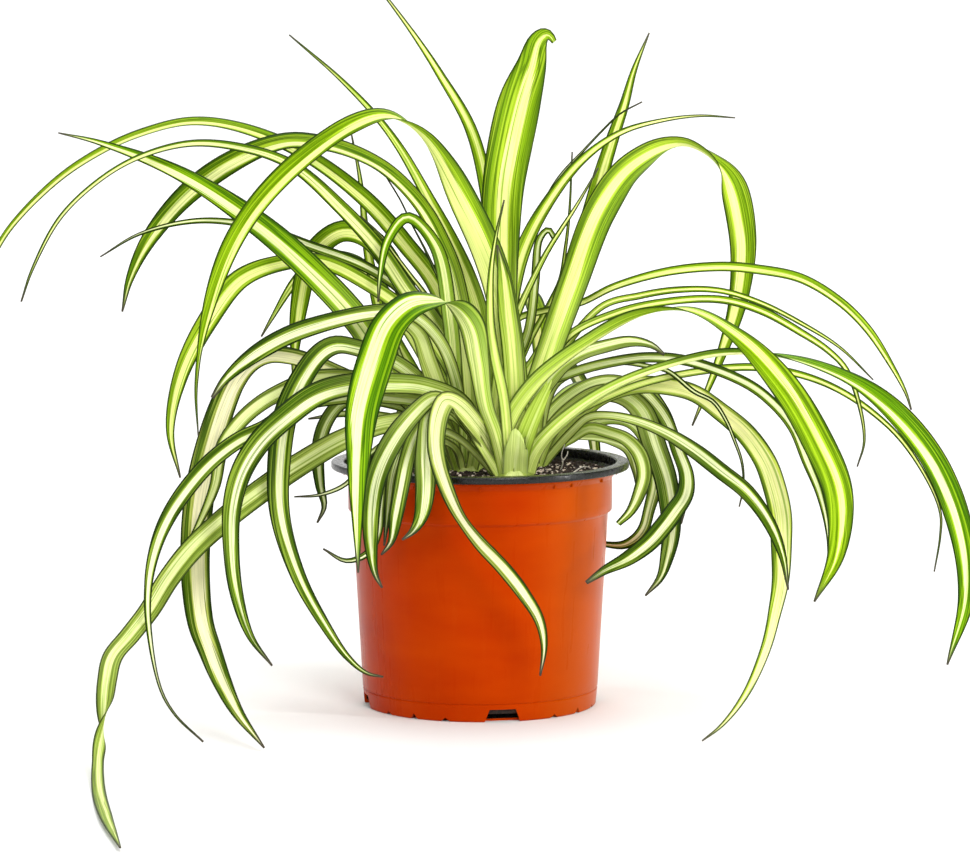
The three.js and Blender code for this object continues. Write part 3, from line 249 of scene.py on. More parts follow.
LEFT_LEAVES = [
    # The long flat arches to the far left
    dict(tone="young", band=[0.35], wide=[6, 9, 10.5, 9.5, 8, 7.5, 5, 1], face=[60, 45, 35, 30, 35], at=[
        (-10, 165, -10), (-21, 206, -24), (-37.5, 228.5, -32), (-57.5, 251, -38), (-87.5, 273.5, -43),
        (-120, 287, -48), (-145, 290, -51), (-170, 284, -55), (-190, 275, -59), (-210, 262, -63),
        (-230, 243, -67), (-240, 229.5, -69), (-251, 205, -72), (-257, 180, -74)]),
    dict(tone="deep", band=[0.45], wide=[6, 9.5, 10.5, 9, 6.5, 5, 3.5, 1], face=[60, 50, 35, 35, 40], at=[
        (-9, 160, -2), (-25, 192, -2), (-36, 204.5, -2), (-50, 225, 0), (-70, 247, 2), (-95, 268.5, 4),
        (-120, 277, 5), (-145, 279, 5), (-170, 272.5, 4), (-190, 261, 2), (-210, 242, 0), (-224, 216, -2),
        (-229.5, 200, -3)]),
    dict(tone="young", band=[0.4], wide=[3, 4, 4, 3, 2, 0.8], face=[70, 60, 60], at=[
        (-12, 170, -11), (-25, 200, -18), (-35, 213.5, -21), (-42.5, 223.5, -23), (-50, 233.5, -25),
        (-60, 243, -27)]),
    # The straight leaf that points up to the left
    dict(tone="bright", band=[0.42], wide=[7, 9, 12, 14.5, 15, 13.5, 11, 7.5, 4, 0.8], face=[70, 60, 60],
        off=[0.15, 0.15], at=[
        (-20, 135, 8), (-40, 156, 16), (-60, 188.5, 20), (-80, 211, 18), (-110, 238, 8), (-150, 264, -8),
        (-190, 279.5, -20), (-211, 284.5, -26)]),
    # The green arch in front of them
    dict(tone="deep", band=[0.35], wide=[6, 8, 9.5, 9.5, 10.5, 13.5, 14, 9.5, 1],
        face=[60, 60, 30, 30, 62, 70], off=[0.3, 0.3], at=[
        (-5, 160, 8), (-12.5, 211, 0), (-20, 231, -6), (-30, 248.5, -12), (-47.5, 266, -18),
        (-65, 275, -22), (-82.5, 279.5, -26), (-97.5, 280, -29), (-120, 272, -33), (-145, 255, -37),
        (-165, 232, -40), (-175, 212, -42), (-179, 195, -43)]),
    # Two middle arches to the left, and a thin one behind them
    dict(tone="mature", band=[0.45], wide=[4, 5.5, 6.5, 7.5, 9.5, 10.5, 9.5, 2], face=[60, 50, 60], at=[
        (-10, 150, 22), (-20, 180, 30), (-35, 194, 34), (-54, 194.5, 38), (-85, 187, 46), (-100, 181, 51),
        (-115, 172, 57), (-127.5, 161, 61), (-134, 152, 63)]),
    dict(tone="young", band=[0.4], wide=[6, 8, 8, 8, 9, 12, 10.5, 6, 1], face=[60, 55, 65], at=[
        (-12, 160, 4), (-32, 190, 2), (-55, 208, 0), (-80, 220, 0), (-100, 219, 4), (-120, 211, 10),
        (-135, 192, 16), (-149, 165, 20), (-155, 136, 24), (-150, 112, 26)]),
    dict(tone="mature", band=[0.3], wide=[3, 4, 5, 6, 5, 3, 0.8], face=[60], at=[
        (-10, 150, 0), (-28, 190, -4), (-40, 206, -6), (-57.5, 217.5, -8), (-85, 228, -9), (-110, 237, -10),
        (-140, 240.5, -12), (-170, 234, -14), (-190, 222.5, -16)]),
    # A short arch at the back, a small leaf beside it, and two thin upright leaves
    dict(tone="young", band=[0.4], wide=[5, 7, 9, 11, 12.5, 12, 9, 1], face=[60, 55, 65], at=[
        (-14, 160, -16), (-34, 200, -30), (-55, 231, -36), (-69, 235, -37), (-81, 227, -37),
        (-87.5, 213.5, -36), (-90, 201, -35), (-92, 186, -33), (-93.5, 160, -30)]),
    dict(tone="young", band=[0.5], wide=[3, 4.5, 5.5, 7, 7.5, 5.5, 1], face=[60], at=[
        (-18, 150, -22), (-45, 200, -66), (-62, 220, -72), (-80, 222, -74), (-92, 211, -75),
        (-104, 192, -75), (-109.5, 182.5, -75)]),
    dict(tone="young", band=[0.3], wide=[3, 5.5, 6.5, 6.5, 5, 3, 0.8], face=[75], at=[
        (-22, 145, -18), (-42, 180, -38), (-50, 195, -46), (-55, 218.5, -54), (-57, 231, -56),
        (-60, 261, -60), (-64.5, 284.5, -64)]),
    dict(tone="dark", band=[0.2], wide=[2.5, 3.5, 3, 2, 1, 0.8], face=[75], at=[
        (-8, 170, -5), (-14, 198, -5), (-20, 210, -8), (-27.5, 226, -10), (-34, 238.5, -12),
        (-40, 251, -14), (-47, 262.5, -16)]),
    # The pale broad leaf that hangs at the left
    dict(tone="tan", band=[0.5], wide=[6, 8, 8.5, 11.5, 14.5, 15, 13.5, 9.5, 1], face=[60, 55, 75], at=[
        (-25, 142, 6), (-45, 152, 12), (-65, 161.5, 16), (-80, 168, 20), (-95, 172.5, 25), (-107, 173, 30),
        (-116, 168.5, 35), (-123, 160, 40), (-128.5, 148, 46), (-134, 131, 52), (-140, 105, 59),
        (-142.5, 70.5, 72), (-140, 40.5, 87), (-135, 25.5, 97), (-129, 10, 107), (-121.5, -5, 117),
        (-108, -23, 129)]),
    # The hanging leaf with the long thread-like tip, and the pale one behind it
    dict(tone="mature", band=[0.35], wide=[6, 8, 9, 9, 9, 8.5, 4, 1.8, 1], face=[60, 60, 75], at=[
        (-20, 145, 20), (-50, 153, 38), (-75, 152, 46), (-90, 148.5, 54), (-107, 137, 64), (-120, 131, 73),
        (-134, 120.5, 84), (-146.5, 106.5, 93), (-155.5, 93, 99), (-161.5, 79.5, 104), (-165.5, 62, 108),
        (-166, 40.5, 111), (-160, 7, 116), (-152.5, -6.5, 119), (-138.5, -20, 122)]),
    dict(tone="pale", band=[0.4], wide=[5, 7, 9, 10, 9, 7.5, 5, 1], face=[60, 60, 75], at=[
        (-25, 150, 14), (-50, 158, 24), (-67.5, 161.5, 32), (-83.5, 161, 40), (-95, 157, 46),
        (-109, 149.5, 53), (-120, 140, 60), (-129, 127, 66), (-132.5, 108.5, 72), (-138.5, 93.5, 76),
        (-145, 81, 78), (-151, 73, 78)]),
    # The longest leaf: it comes down at the left, twists, and lies forward along the surface
    dict(tone="pale", band=[0.3], wide=[6, 10, 12.5, 12, 10.5, 9.5, 5.5, 6.5, 6, 1],
        face=[60, 60, 60, 60, 60, 60, 40, 0, 0], turn=[0, 0, 0, 0, 0, 0, 180, 180, 180, 180], at=[
        (-20, 138, 26), (-45, 139, 40), (-68, 131, 52), (-89, 119, 62), (-107.5, 106.5, 70),
        (-127, 91.5, 80), (-143.5, 76.5, 88), (-155.5, 61.5, 93), (-165, 46, 99), (-175, 33, 110),
        (-183.5, 22.5, 124), (-186.5, 10, 140), (-188, -5, 157), (-191, -27.5, 187), (-191, -42.5, 218),
        (-187, -57.5, 283), (-180, -73, 342)]),
    # Two hanging leaves nearer the pot
    dict(tone="mature", band=[0.28], wide=[6, 8, 10.5, 12.5, 12.5, 11.5, 8.5, 6.5, 1], face=[60, 60, 75],
        at=[
        (-2, 135, 26), (-10, 150, 34), (-28, 157.5, 42), (-43, 159, 50), (-66, 158, 62), (-81.5, 153.5, 74),
        (-96.5, 143, 86), (-110.5, 129.5, 94), (-119.5, 114.5, 99), (-124, 97.5, 103), (-124.5, 78, 106),
        (-122, 55, 109), (-115, 33, 111), (-104, 18, 113)]),
    dict(tone="mature", band=[0.3], wide=[6, 8, 8.5, 10.5, 12.5, 11, 8, 5, 1], face=[60, 60, 75], at=[
        (-16, 140, 14), (-30, 160, 26), (-45, 171, 40), (-61, 176.5, 52), (-73, 178, 60), (-82, 172, 65),
        (-96, 147, 72), (-100.5, 120, 77), (-100, 93, 81), (-91, 63, 84), (-78, 39, 81), (-66.5, 22.5, 75),
        (-57, 14.5, 70), (-48.5, 12.5, 66)]),
    # Small leaves between the pot and the hanging ones
    dict(tone="dark", band=[0.3], wide=[3, 5, 5.5, 6, 7, 7.5, 5.5, 1], face=[60, 60, 75], at=[
        (-25, 140, 8), (-50, 150, 18), (-68, 150, 28), (-77, 140, 36), (-81, 125, 41), (-80, 108, 44),
        (-78, 97.5, 45), (-81.5, 89.5, 46)]),
    dict(tone="mature", band=[0.4], wide=[3, 4.5, 5, 5, 4, 1], face=[60], at=[
        (-25, 136, -2), (-45, 142, 2), (-65, 144, 8), (-86, 141.5, 12)]),
    dict(tone="dark", band=[0.3], wide=[2, 3, 3, 3, 2.5, 2.5, 0.8], face=[60], at=[
        (-14, 128, 20), (-32, 133, 38), (-45, 131, 52), (-56, 123, 62), (-67, 109, 66), (-80, 103.5, 66),
        (-93, 102.5, 65)]),
    dict(tone="mature", band=[0.4], wide=[3, 4.5, 4.5, 4.5, 4.5, 4, 1], face=[60], at=[
        (-12, 126, 24), (-26, 132, 44), (-40, 132, 63), (-48, 117, 77), (-50, 98, 76), (-51, 85, 76),
        (-56, 74.5, 75), (-67, 70.5, 73), (-78.5, 76.5, 70)]),
    # A short arch and two short pale leaves near the crown
    dict(tone="bright", band=[0.3], wide=[5, 7.5, 8.5, 8, 8, 7, 4.5, 1], face=[60, 45, 40, 60], at=[
        (-12, 150, 8), (-15, 190, 8), (-22.5, 228, 8), (-36.5, 242, 9), (-46, 231, 10), (-50, 213, 11),
        (-51, 200, 12)]),
    dict(tone="pale", band=[0.35], wide=[6, 8, 10, 10, 8, 5, 1], face=[60, 55, 60], at=[
        (-10, 140, 18), (-19, 152, 26), (-26, 170, 28), (-31, 184, 26), (-40, 190, 20), (-50, 184, 14),
        (-56, 172, 10)]),
    dict(tone="pale", band=[0.3], wide=[5, 6, 6, 5, 4, 1], face=[70, 65, 60], at=[
        (-12, 140, 10), (-24, 152, 14), (-34, 162, 14), (-40, 173, 12), (-42, 182, 10)]),
]

BACK_LEAVES = [
    # Thin leaves that rise to the upper left behind the tall one
    dict(tone="young", band=[0.3], wide=[6, 8.5, 10, 9, 6, 4, 2.5, 0.8], face=[75, 70, 70], at=[
        (3, 150, -16), (0, 191, -16), (-6, 211, -17), (-15, 231, -19), (-25.5, 251, -22), (-39, 275, -26),
        (-51, 291.5, -30), (-70, 311.5, -35), (-95.5, 333.5, -43)]),
    dict(tone="young", band=[0.35], wide=[5, 7, 7.5, 7.5, 7, 5, 2.5, 0.8], face=[75, 70, 70], at=[
        (7, 150, -28), (8, 200, -36), (3, 256, -42), (-5, 287, -46), (-20, 313.5, -52), (-30, 329, -56),
        (-40, 343, -61), (-50, 356, -66), (-60, 368, -71)]),
    # The bent leaf behind the high right arch
    dict(tone="mature", band=[0.3], wide=[4, 5, 5, 5, 4.5, 3], face=[80], at=[
        (14, 160, -20), (24, 185, -14), (27.5, 211, -15), (29.5, 231, -18), (34, 236, -22),
        (37, 232, -26)]),
    # Leaves that rise to the right
    dict(tone="young", band=[0.4], wide=[5, 8, 9.5, 8.5, 6, 4, 2.3, 0.8], face=[75, 65, 60], at=[
        (10, 160, -8), (16.5, 208.5, -4), (22.5, 228.5, -4), (32.5, 247.5, -6), (50, 270, -11),
        (70, 284.5, -17), (90, 290.5, -22), (110, 293, -26), (127.5, 292, -30)]),
    dict(tone="mature", band=[0.3], wide=[2, 3.5, 3.5, 2.5, 1.5, 0.8], face=[75, 65, 60], at=[
        (10, 170, -30), (22, 225, -34), (38, 260, -36), (52.5, 276.5, -36), (60, 284.5, -36),
        (70, 294, -36), (81, 300, -36)]),
    dict(tone="young", band=[0.3], wide=[2, 3.5, 3.5, 2.5, 1.5, 0.8], face=[80], at=[
        (20, 170, -24), (34, 198, -29), (40, 211, -30), (42.5, 226, -30), (44.5, 243.5, -30),
        (46, 275, -30)]),
    dict(tone="young", band=[0.35], wide=[3, 4.5, 4.5, 3.5, 2.5, 0.8], face=[75, 70, 70], at=[
        (10, 165, -10), (18.5, 193.5, 2), (27.5, 213.5, 4), (34, 226, 4), (41, 237, 4), (47.5, 247, 3),
        (54, 258, 2), (59, 267, 1)]),
    dict(tone="young", band=[0.4], wide=[6, 8, 9.5, 9.5, 8.5, 5.5, 0.8], face=[75, 70, 70], at=[
        (16, 150, -30), (35, 181, -42), (42.5, 206, -46), (52, 233.5, -50), (60.5, 263.5, -54),
        (66, 281, -56), (72, 298.5, -58), (77, 316, -60), (84.5, 334.5, -63)]),
    # The long thin arch to the right
    dict(tone="young", band=[0.35], wide=[3, 4, 4, 4.5, 5.5, 6, 5, 1], face=[60, 55, 60], at=[
        (4, 150, -24), (10, 180, -25), (19, 191.5, -24), (30.5, 195, -20), (50.5, 199.5, -8),
        (67, 207.5, 2), (93.5, 215, 10), (120.5, 217.5, 12), (139, 216, 12), (160.5, 211.5, 10),
        (180.5, 199.5, 8), (194, 186, 6), (206, 167.5, 4), (213, 154, 2), (215.5, 146, 0)]),
    # Leaves that arch and hang behind the pot
    dict(tone="mature", band=[0.4], wide=[6, 8.5, 10.5, 10, 7.5, 1], face=[0], at=[
        (8, 145, -40), (22, 165, -75), (38, 172, -110), (52, 155, -142), (58, 120, -160), (60, 88, -166)]),
    dict(tone="mature", band=[0.4], wide=[6, 8, 10, 9.5, 7, 1], face=[0], at=[
        (-1, 148, -44), (-5, 172, -76), (-10, 180, -108), (-13, 168, -140), (-14, 138, -160),
        (-14, 100, -170)]),
    dict(tone="young", band=[0.4], wide=[6, 8.5, 11, 11, 8.5, 1], face=[0], at=[
        (6, 155, -46), (14, 190, -88), (22, 204, -124), (28, 196, -160), (31, 168, -184), (32, 130, -198),
        (31, 92, -202)]),
    dict(tone="mature", band=[0.35], wide=[5, 7, 9, 8.5, 6, 1], face=[0], at=[
        (-6, 142, -40), (-20, 152, -70), (-34, 150, -102), (-44, 130, -126), (-48, 100, -138),
        (-50, 68, -144)]),
    dict(tone="mature", band=[0.4], wide=[5, 7, 8, 7, 5, 1], face=[0], at=[
        (-8, 136, -36), (-28, 144, -56), (-50, 142, -76), (-70, 131, -92), (-88, 119, -104),
        (-104, 107.5, -112)]),
]

RIGHT_LEAVES = [
    # Two thin arches above the big ones
    dict(tone="young", band=[0.35], wide=[3, 4.5, 4.5, 4.5, 4.5, 3, 0.8], face=[60, 55, 60], at=[
        (32, 155, 4), (42.5, 181, 12), (67, 194, 20), (93.5, 200, 27), (120.5, 201, 31), (140.5, 195.5, 33),
        (160.5, 184.5, 34), (174, 175.5, 34), (183, 166, 34), (189.5, 148.5, 34), (192, 130, 34),
        (188.5, 117.5, 34)]),
    dict(tone="young", band=[0.35], wide=[3, 4, 4, 4, 3.5, 2.5, 0.8], face=[60, 55, 60], at=[
        (34, 160, -4), (60, 197, 4), (80, 203, 8), (100, 206, 12), (120, 205.5, 14), (140, 199.5, 15),
        (160, 189.5, 16), (180, 177, 17), (196.5, 161, 17)]),
    # The leaf along the left edge of the big bright arch
    dict(tone="mature", band=[0.35], wide=[4, 5.5, 6, 6, 5.5, 4.5, 0.8], face=[60, 55, 65], at=[
        (33.5, 158, 8), (45, 164, 14), (65, 169.5, 22), (85, 172, 28), (105, 170, 33), (133.5, 159, 44),
        (147, 148.5, 51), (156.5, 136.5, 58), (163, 120.5, 65), (170, 103, 72), (174, 83, 76),
        (174, 67, 79)]),
    # The thin leaf that falls between the big arches
    dict(tone="mature", band=[0.2], wide=[2.5, 3, 3, 2.8, 2, 0.8], face=[60], at=[
        (38, 158, -4), (55, 166, 2), (70, 169.5, 6), (82.5, 168, 10), (93.5, 165.5, 14), (107, 155, 20),
        (116.5, 150, 24), (123, 140.5, 27), (127, 131, 30), (131, 119, 33), (131.5, 107, 35),
        (129.5, 97.5, 37)]),
    # The cream leaf that arches to the right and hangs to the foot
    dict(tone="cream", band=[0.62], wide=[6, 9, 10, 9.5, 11.5, 12, 10, 6, 4, 0.8], face=[60, 55, 75], at=[
        (36, 130, -2), (48, 142, 2), (62, 153, 5), (79, 158, 6), (93.5, 157.5, 7), (107, 154, 7),
        (120.5, 144.5, 11), (132.5, 134, 20), (142, 120.5, 30), (147, 107, 42), (150, 93.5, 54),
        (150.5, 80, 66), (150, 60, 80), (147.5, 46, 89), (142.5, 26, 99), (132.5, 3.5, 109),
        (121, -11.5, 115), (111, -19.5, 120)]),
    # The straight low leaf that crosses in front of it
    dict(tone="mature", band=[0.35], wide=[4, 5, 5, 6.5, 8.5, 8.5, 6, 1], face=[60], at=[
        (36, 124, 0), (47.5, 136.5, 8), (54, 142, 13), (64, 143, 21), (77.5, 140.5, 31), (93.5, 134, 43),
        (107, 125.5, 53), (120.5, 115, 63), (133.5, 104.5, 72), (144.5, 89.5, 80), (151, 73.5, 87),
        (154, 56, 93)]),
    # Old leaves that bend down over the pot's right side
    dict(tone="mature", band=[0.35], wide=[5, 7, 8, 8, 6.5, 8, 10.5, 9.5, 2], face=[60, 40, 60], at=[
        (33, 140, -14), (50, 156, -20), (65, 160.5, -22), (78, 157, -20), (87.5, 148.5, -14),
        (94, 138.5, -8), (98.5, 126, 0), (103, 113.5, 11), (102.5, 104, 21), (97, 95, 32), (91.5, 87.5, 40),
        (84, 79, 47), (73, 71, 53), (62, 65.5, 58), (53, 59.5, 61)]),
    dict(tone="dark", band=[0.3], wide=[6, 8, 10.5, 12.5, 12, 9, 1], face=[60, 50, 70], at=[
        (34, 134, -8), (48, 148, -7), (60, 154, -7), (72, 152.5, -6), (80.5, 145.5, -3), (87, 128, 4),
        (93, 109.5, 10), (95.5, 87.5, 14), (93.5, 73, 16), (90, 62, 18), (82.5, 53, 20)]),
    dict(tone="mature", band=[0.4], wide=[4.5, 7, 7.5, 8.5, 7, 3], face=[50, 50, 70], at=[
        (36, 126, -7), (46, 132, -8), (54.5, 136.5, -6), (64, 134.5, -1), (73, 131, 6), (79.5, 124, 12),
        (82, 114, 18), (79.5, 104, 24), (75, 95, 30), (69, 89, 36)]),
    dict(tone="mature", band=[0.35], wide=[3.5, 6, 7.5, 8, 7.5, 6, 3], face=[50, 40, 60],
        turn=[0, 0, 0, -20, -45, -45], at=[
        (36, 128, -16), (50, 136, -22), (64, 141, -26), (76, 138.5, -27), (85, 126, -25), (87.5, 111, -20),
        (84, 95, -18), (82, 87.5, -20), (78, 82, -25), (71.5, 78.5, -31), (60, 79, -40)]),
    dict(tone="dark", band=[0.3], wide=[5, 8, 9.5, 9, 7, 1], face=[30, 20, 60], at=[
        (30, 128, -16), (42, 131.5, -32), (55.5, 132, -42), (65, 130.5, -45), (74.5, 126, -43),
        (78, 116, -39), (79, 103.5, -35)]),
    dict(tone="dark", band=[0.3], wide=[3, 4, 5, 5, 3.5, 1], face=[60], at=[
        (34, 140, -26), (60, 158, -36), (80, 159, -37), (92, 146, -33), (98, 131, -27), (102, 116, -21),
        (103, 101, -15), (100.5, 89, -11)]),
    # A narrow leaf behind the longest arch, and one that hangs behind the pot's right side
    dict(tone="young", band=[0.35], wide=[3, 4.5, 4.5, 4.5, 3.5, 2, 0.8], face=[60, 55, 60], at=[
        (40, 138, 4), (70, 155, 14), (100, 163.5, 14), (140, 167, 14), (175, 158, 15), (205, 137, 20),
        (222, 114, 28), (230, 95, 33), (230, 83, 34), (227, 65, 34)]),
    dict(tone="mature", band=[0.4], wide=[6, 8, 10, 10, 8, 1], face=[0], at=[
        (29, 134, -16), (36, 146, -38), (50, 158, -66), (66, 160, -88), (80, 150, -106), (88, 128, -116),
        (90, 100, -120)]),
]

# The crowns that the leaves grow from: middle, radius and leaves
ROSETTES = {
    "front_rosette": (17.0, -28.0, 12.5, FRONT_LEAVES),
    "left_rosette": (-6.0, 2.0, 10.0, LEFT_LEAVES),
    "back_rosette": (2.0, 34.0, 9.0, BACK_LEAVES),
    "right_rosette": (25.0, 18.0, 9.0, RIGHT_LEAVES),
}

# The kinds of leaf: the green of the margins, their darker lines, the yellow-green line inside them, the
# cream of the middle and the thin outermost rim
TONES = {
    "vivid": ("#7CA202", "#3C5C00", "#AED026", "#F4FA9A", "#263A0A"),
    "bright": ("#5A8C02", "#244800", "#9CC018", "#F6FAB4", "#1C3006"),
    "young": ("#7CA20E", "#365600", "#AECA30", "#F2F69C", "#283A0C"),
    "deep": ("#547A02", "#264000", "#9CB826", "#EEF2A6", "#182A06"),
    "mature": ("#4C6C0A", "#1E3202", "#9CB43C", "#ECF0C0", "#162406"),
    "tan": ("#547212", "#243A02", "#B2BC58", "#F0EAC0", "#1C2A0A"),
    "pale": ("#86A036", "#4A5A1A", "#B6C65E", "#E2EAA4", "#2C3A12"),
    "cream": ("#86A824", "#3E580C", "#D2E05C", "#FAF8B0", "#2A400C"),
    "dark": ("#3C5A0A", "#182C02", "#8AA040", "#E0E6B4", "#101E06"),
    "torn": ("#AECA44", "#8CAA34", "#C4DA62", "#D8E88A", "#7C8C34"),
    "sheath": ("#C2D27A", "#A2B45A", "#CCDA8C", "#D6E2A0", "#90A05A"),
}


# Helpers

def linear(hex_colour):
    """An sRGB hex colour as linear red, green, blue and full alpha."""
    parts = [int(hex_colour[i:i + 2], 16) / 255 for i in (1, 3, 5)]
    curve = [part / 12.92 if part <= 0.04045 else ((part + 0.055) / 1.055) ** 2.4 for part in parts]
    return (*curve, 1.0)


def node(tree, kind, inputs=None, **settings):
    """Adds a node with its settings, and its inputs' values or links."""
    new = tree.nodes.new(kind)
    for name, value in settings.items():
        setattr(new, name, value)
    for key, value in (inputs or {}).items():
        if isinstance(value, bpy.types.NodeSocket):
            tree.links.new(value, new.inputs[key])
        else:
            new.inputs[key].default_value = value
    return new


def new_material(name):
    """An empty node material with its output, as the material and its tree."""
    material = bpy.data.materials.new(name)
    material.use_nodes = True
    material.node_tree.nodes.clear()
    return material, material.node_tree


def finish_material(tree, shader):
    """Leads a shader to the material's output."""
    node(tree, "ShaderNodeOutputMaterial", {"Surface": shader.outputs["BSDF"]})


def new_object(name, mesh):
    """An object in the scene that shows a mesh, a lamp or a camera."""
    thing = bpy.data.objects.new(name, mesh)
    bpy.context.scene.collection.objects.link(thing)
    return thing


def new_mesh(name, vertices, faces):
    """A mesh of vertices in metres, shaded smooth."""
    mesh = bpy.data.meshes.new(name)
    mesh.from_pydata(np.asarray(vertices, float).tolist(), [], faces)
    mesh.polygons.foreach_set("use_smooth", [True] * len(faces))
    return mesh


def joined(rows):
    """The faces between closed rows of vertex numbers. A row that is one point repeats its number."""
    faces = []
    for low, high in zip(rows, rows[1:]):
        for i, here in enumerate(low):
            j = (i + 1) % len(low)
            faces.append(tuple(dict.fromkeys((here, low[j], high[j], high[i]))))
    return faces


def turned(outline, sides):
    """The vertices and faces of a body turned on the upright axis, from its outline of radii and heights."""
    vertices, rows = [], []
    for radius, height in outline:
        count = sides if radius else 1
        rows.append([len(vertices) + i % count for i in range(sides)])
        for i in range(count):
            angle = 2 * math.pi * i / sides
            vertices.append((radius * math.cos(angle), radius * math.sin(angle), height))
    return np.array(vertices), joined(rows)


def unit(vectors):
    """Each row of an array at length one."""
    return vectors / np.linalg.norm(vectors, axis=1)[:, None]


def bake_modifiers(thing):
    """Puts the evaluated shape into the object's own mesh, and takes its modifiers off."""
    depsgraph = bpy.context.evaluated_depsgraph_get()
    mesh = bpy.data.meshes.new_from_object(thing.evaluated_get(depsgraph))
    thing.modifiers.clear()
    thing.data = mesh
    return thing


def seat(thing, slot, *nodes):
    """Lets a finished piece ride on the plant, in place of the solids that it stands for."""
    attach(thing, "root")
    for name in nodes:
        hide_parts(name)


# Materials

def leaf_material(tone):
    """A living blade with a thin waxed skin: satin, a little light comes through it, and its colour runs in
    long streaks a fraction of a millimetre wide, cream in the middle and green at the margins."""
    green, edge, lime, cream, rim = (linear(colour) for colour in TONES[tone])
    material, tree = new_material("leaf_" + tone)
    uv = node(tree, "ShaderNodeUVMap", uv_map="blade")
    parts = node(tree, "ShaderNodeSeparateXYZ", {0: uv.outputs[0]})
    centred = node(tree, "ShaderNodeMath", {0: parts.outputs[0], 1: 2.0, 2: -1.0}, operation="MULTIPLY_ADD")
    margin = node(tree, "ShaderNodeMath", {0: centred.outputs[0]}, operation="ABSOLUTE").outputs[0]
    size = node(tree, "ShaderNodeAttribute", attribute_name="leaf_mm").outputs["Vector"]
    band, lean, bare, under, age, rim_mm = (
        node(tree, "ShaderNodeAttribute", attribute_name=name).outputs["Fac"]
        for name in ("band", "lean", "bare", "under", "age", "rim_mm"))

    # Streaks: how many lie side by side and end to end in a millimetre, and how much detail they have
    streaks = []
    for beside, along, detail in (
            (0.30, 0.010, 1.0),     # a few broad ones across a blade
            (0.9, 0.008, 2.0),      # stripes about a millimetre wide
            (2.6, 0.007, 2.0),      # veins about half a millimetre apart
            (0.06, 0.03, 2.0)):     # slow changes along the blade
        scaled = node(tree, "ShaderNodeVectorMath", {0: size, 1: (beside, along, 1.0)}, operation="MULTIPLY")
        streaks.append(node(tree, "ShaderNodeTexNoise", {"Vector": scaled.outputs[0], "Scale": 1.0,
                                                         "Detail": detail}).outputs["Fac"])
    broad, coarse, fine, patch = streaks

    # How far a point lies beyond the cream band, whose edge wanders with the broader streaks about their mean
    off = node(tree, "ShaderNodeMath", {0: centred.outputs[0], 1: lean}, operation="SUBTRACT")
    beyond = node(tree, "ShaderNodeMath", {0: off.outputs[0]}, operation="ABSOLUTE").outputs[0]
    for value, share in ((broad, 0.5), (coarse, 0.4), (band, -1.0), (1.0, -0.45)):
        beyond = node(tree, "ShaderNodeMath", {0: value, 1: share, 2: beyond},
                      operation="MULTIPLY_ADD").outputs[0]

    # How far a point lies from a line in the stripes, and from the seam beside the band
    away = []
    for value, middle in ((coarse, 0.5), (beyond, 0.2)):
        apart = node(tree, "ShaderNodeMath", {0: value, 1: middle}, operation="SUBTRACT")
        away.append(node(tree, "ShaderNodeMath", {0: apart.outputs[0]}, operation="ABSOLUTE").outputs[0])

    # The pale base mask is partly the leaf's own pale colour and partly painted light over the shaded middle
    # of the plant
    masks = {
        "bare": node(tree, "ShaderNodeMath", {0: bare, 1: 0.85}, operation="MULTIPLY").outputs[0],
        "underside": node(tree, "ShaderNodeMath", {0: under, 1: 0.06}, operation="MULTIPLY").outputs[0],
        "rim_most": node(tree, "ShaderNodeMath", {0: bare, 1: -0.3, 2: 0.95},
                         operation="MULTIPLY_ADD").outputs[0],
        "age": age,
    }
    # Each mask goes from its start to its stop, a number or another mask, while what it follows goes from its
    # low to its high
    for name, value, low, high, start, stop in (
            ("margin", margin, 0.55, 0.98, 0.0, 1.0),
            ("lime_stripe", coarse, 0.50, 0.60, 0.0, 0.55),
            ("dark_vein", fine, 0.45, 0.40, 0.0, 0.75),
            ("lime_border", beyond, 0.16, 0.05, 0.0, 1.0),
            ("cream", beyond, 0.03, -0.02, 0.0, 1.0),
            ("vein_most", beyond, 0.0, -0.08, 0.0, 0.5),
            ("lime_vein", fine, 0.44, 0.37, 0.0, "vein_most"),
            ("stripe_most", beyond, 0.0, -0.08, 0.0, 0.8),
            ("green_stripe", coarse, 0.38, 0.33, 0.0, "stripe_most"),
            ("line_most", beyond, 0.0, -0.08, 0.65, 0.2),
            ("line", away[0], 0.035, 0.015, 0.0, "line_most"),
            ("seam", away[1], 0.05, 0.02, 0.0, 0.6),
            ("base_vein", fine, 0.36, 0.6, 0.0, 1.0),
            ("green_patch", patch, 0.35, 0.75, 0.0, 0.2),
            ("rim", rim_mm, 0.95, 0.45, 0.0, "rim_most"),
            ("roughness", fine, 0.2, 0.8, 0.36, 0.5)):
        masks[name] = node(tree, "ShaderNodeMapRange", {
            "Value": value, "From Min": low, "From Max": high, "To Min": start,
            "To Max": masks.get(stop, stop)}, interpolation_type="SMOOTHSTEP").outputs["Result"]
    masks["drawn"] = node(tree, "ShaderNodeMath", {0: masks["line"], 1: masks["seam"]},
                          operation="MAXIMUM").outputs[0]

    # The pale base's colours, made lighter as painted light against the shade in the plant's middle
    base = node(tree, "ShaderNodeMix", {0: masks["base_vein"], 6: linear("#B2D04A"), 7: linear("#EAF48E")},
                data_type="RGBA").outputs[2]
    colour = green
    for name, tint in (
            ("margin", edge), ("lime_stripe", lime), ("dark_vein", edge), ("lime_border", lime),
            ("cream", cream), ("lime_vein", lime), ("green_stripe", green), ("drawn", edge),
            ("bare", base), ("underside", linear("#B4CC5C")), ("green_patch", green), ("rim", rim),
            ("age", linear("#4A443A"))):
        colour = node(tree, "ShaderNodeMix", {0: masks[name], 6: colour, 7: tint},
                      data_type="RGBA").outputs[2]

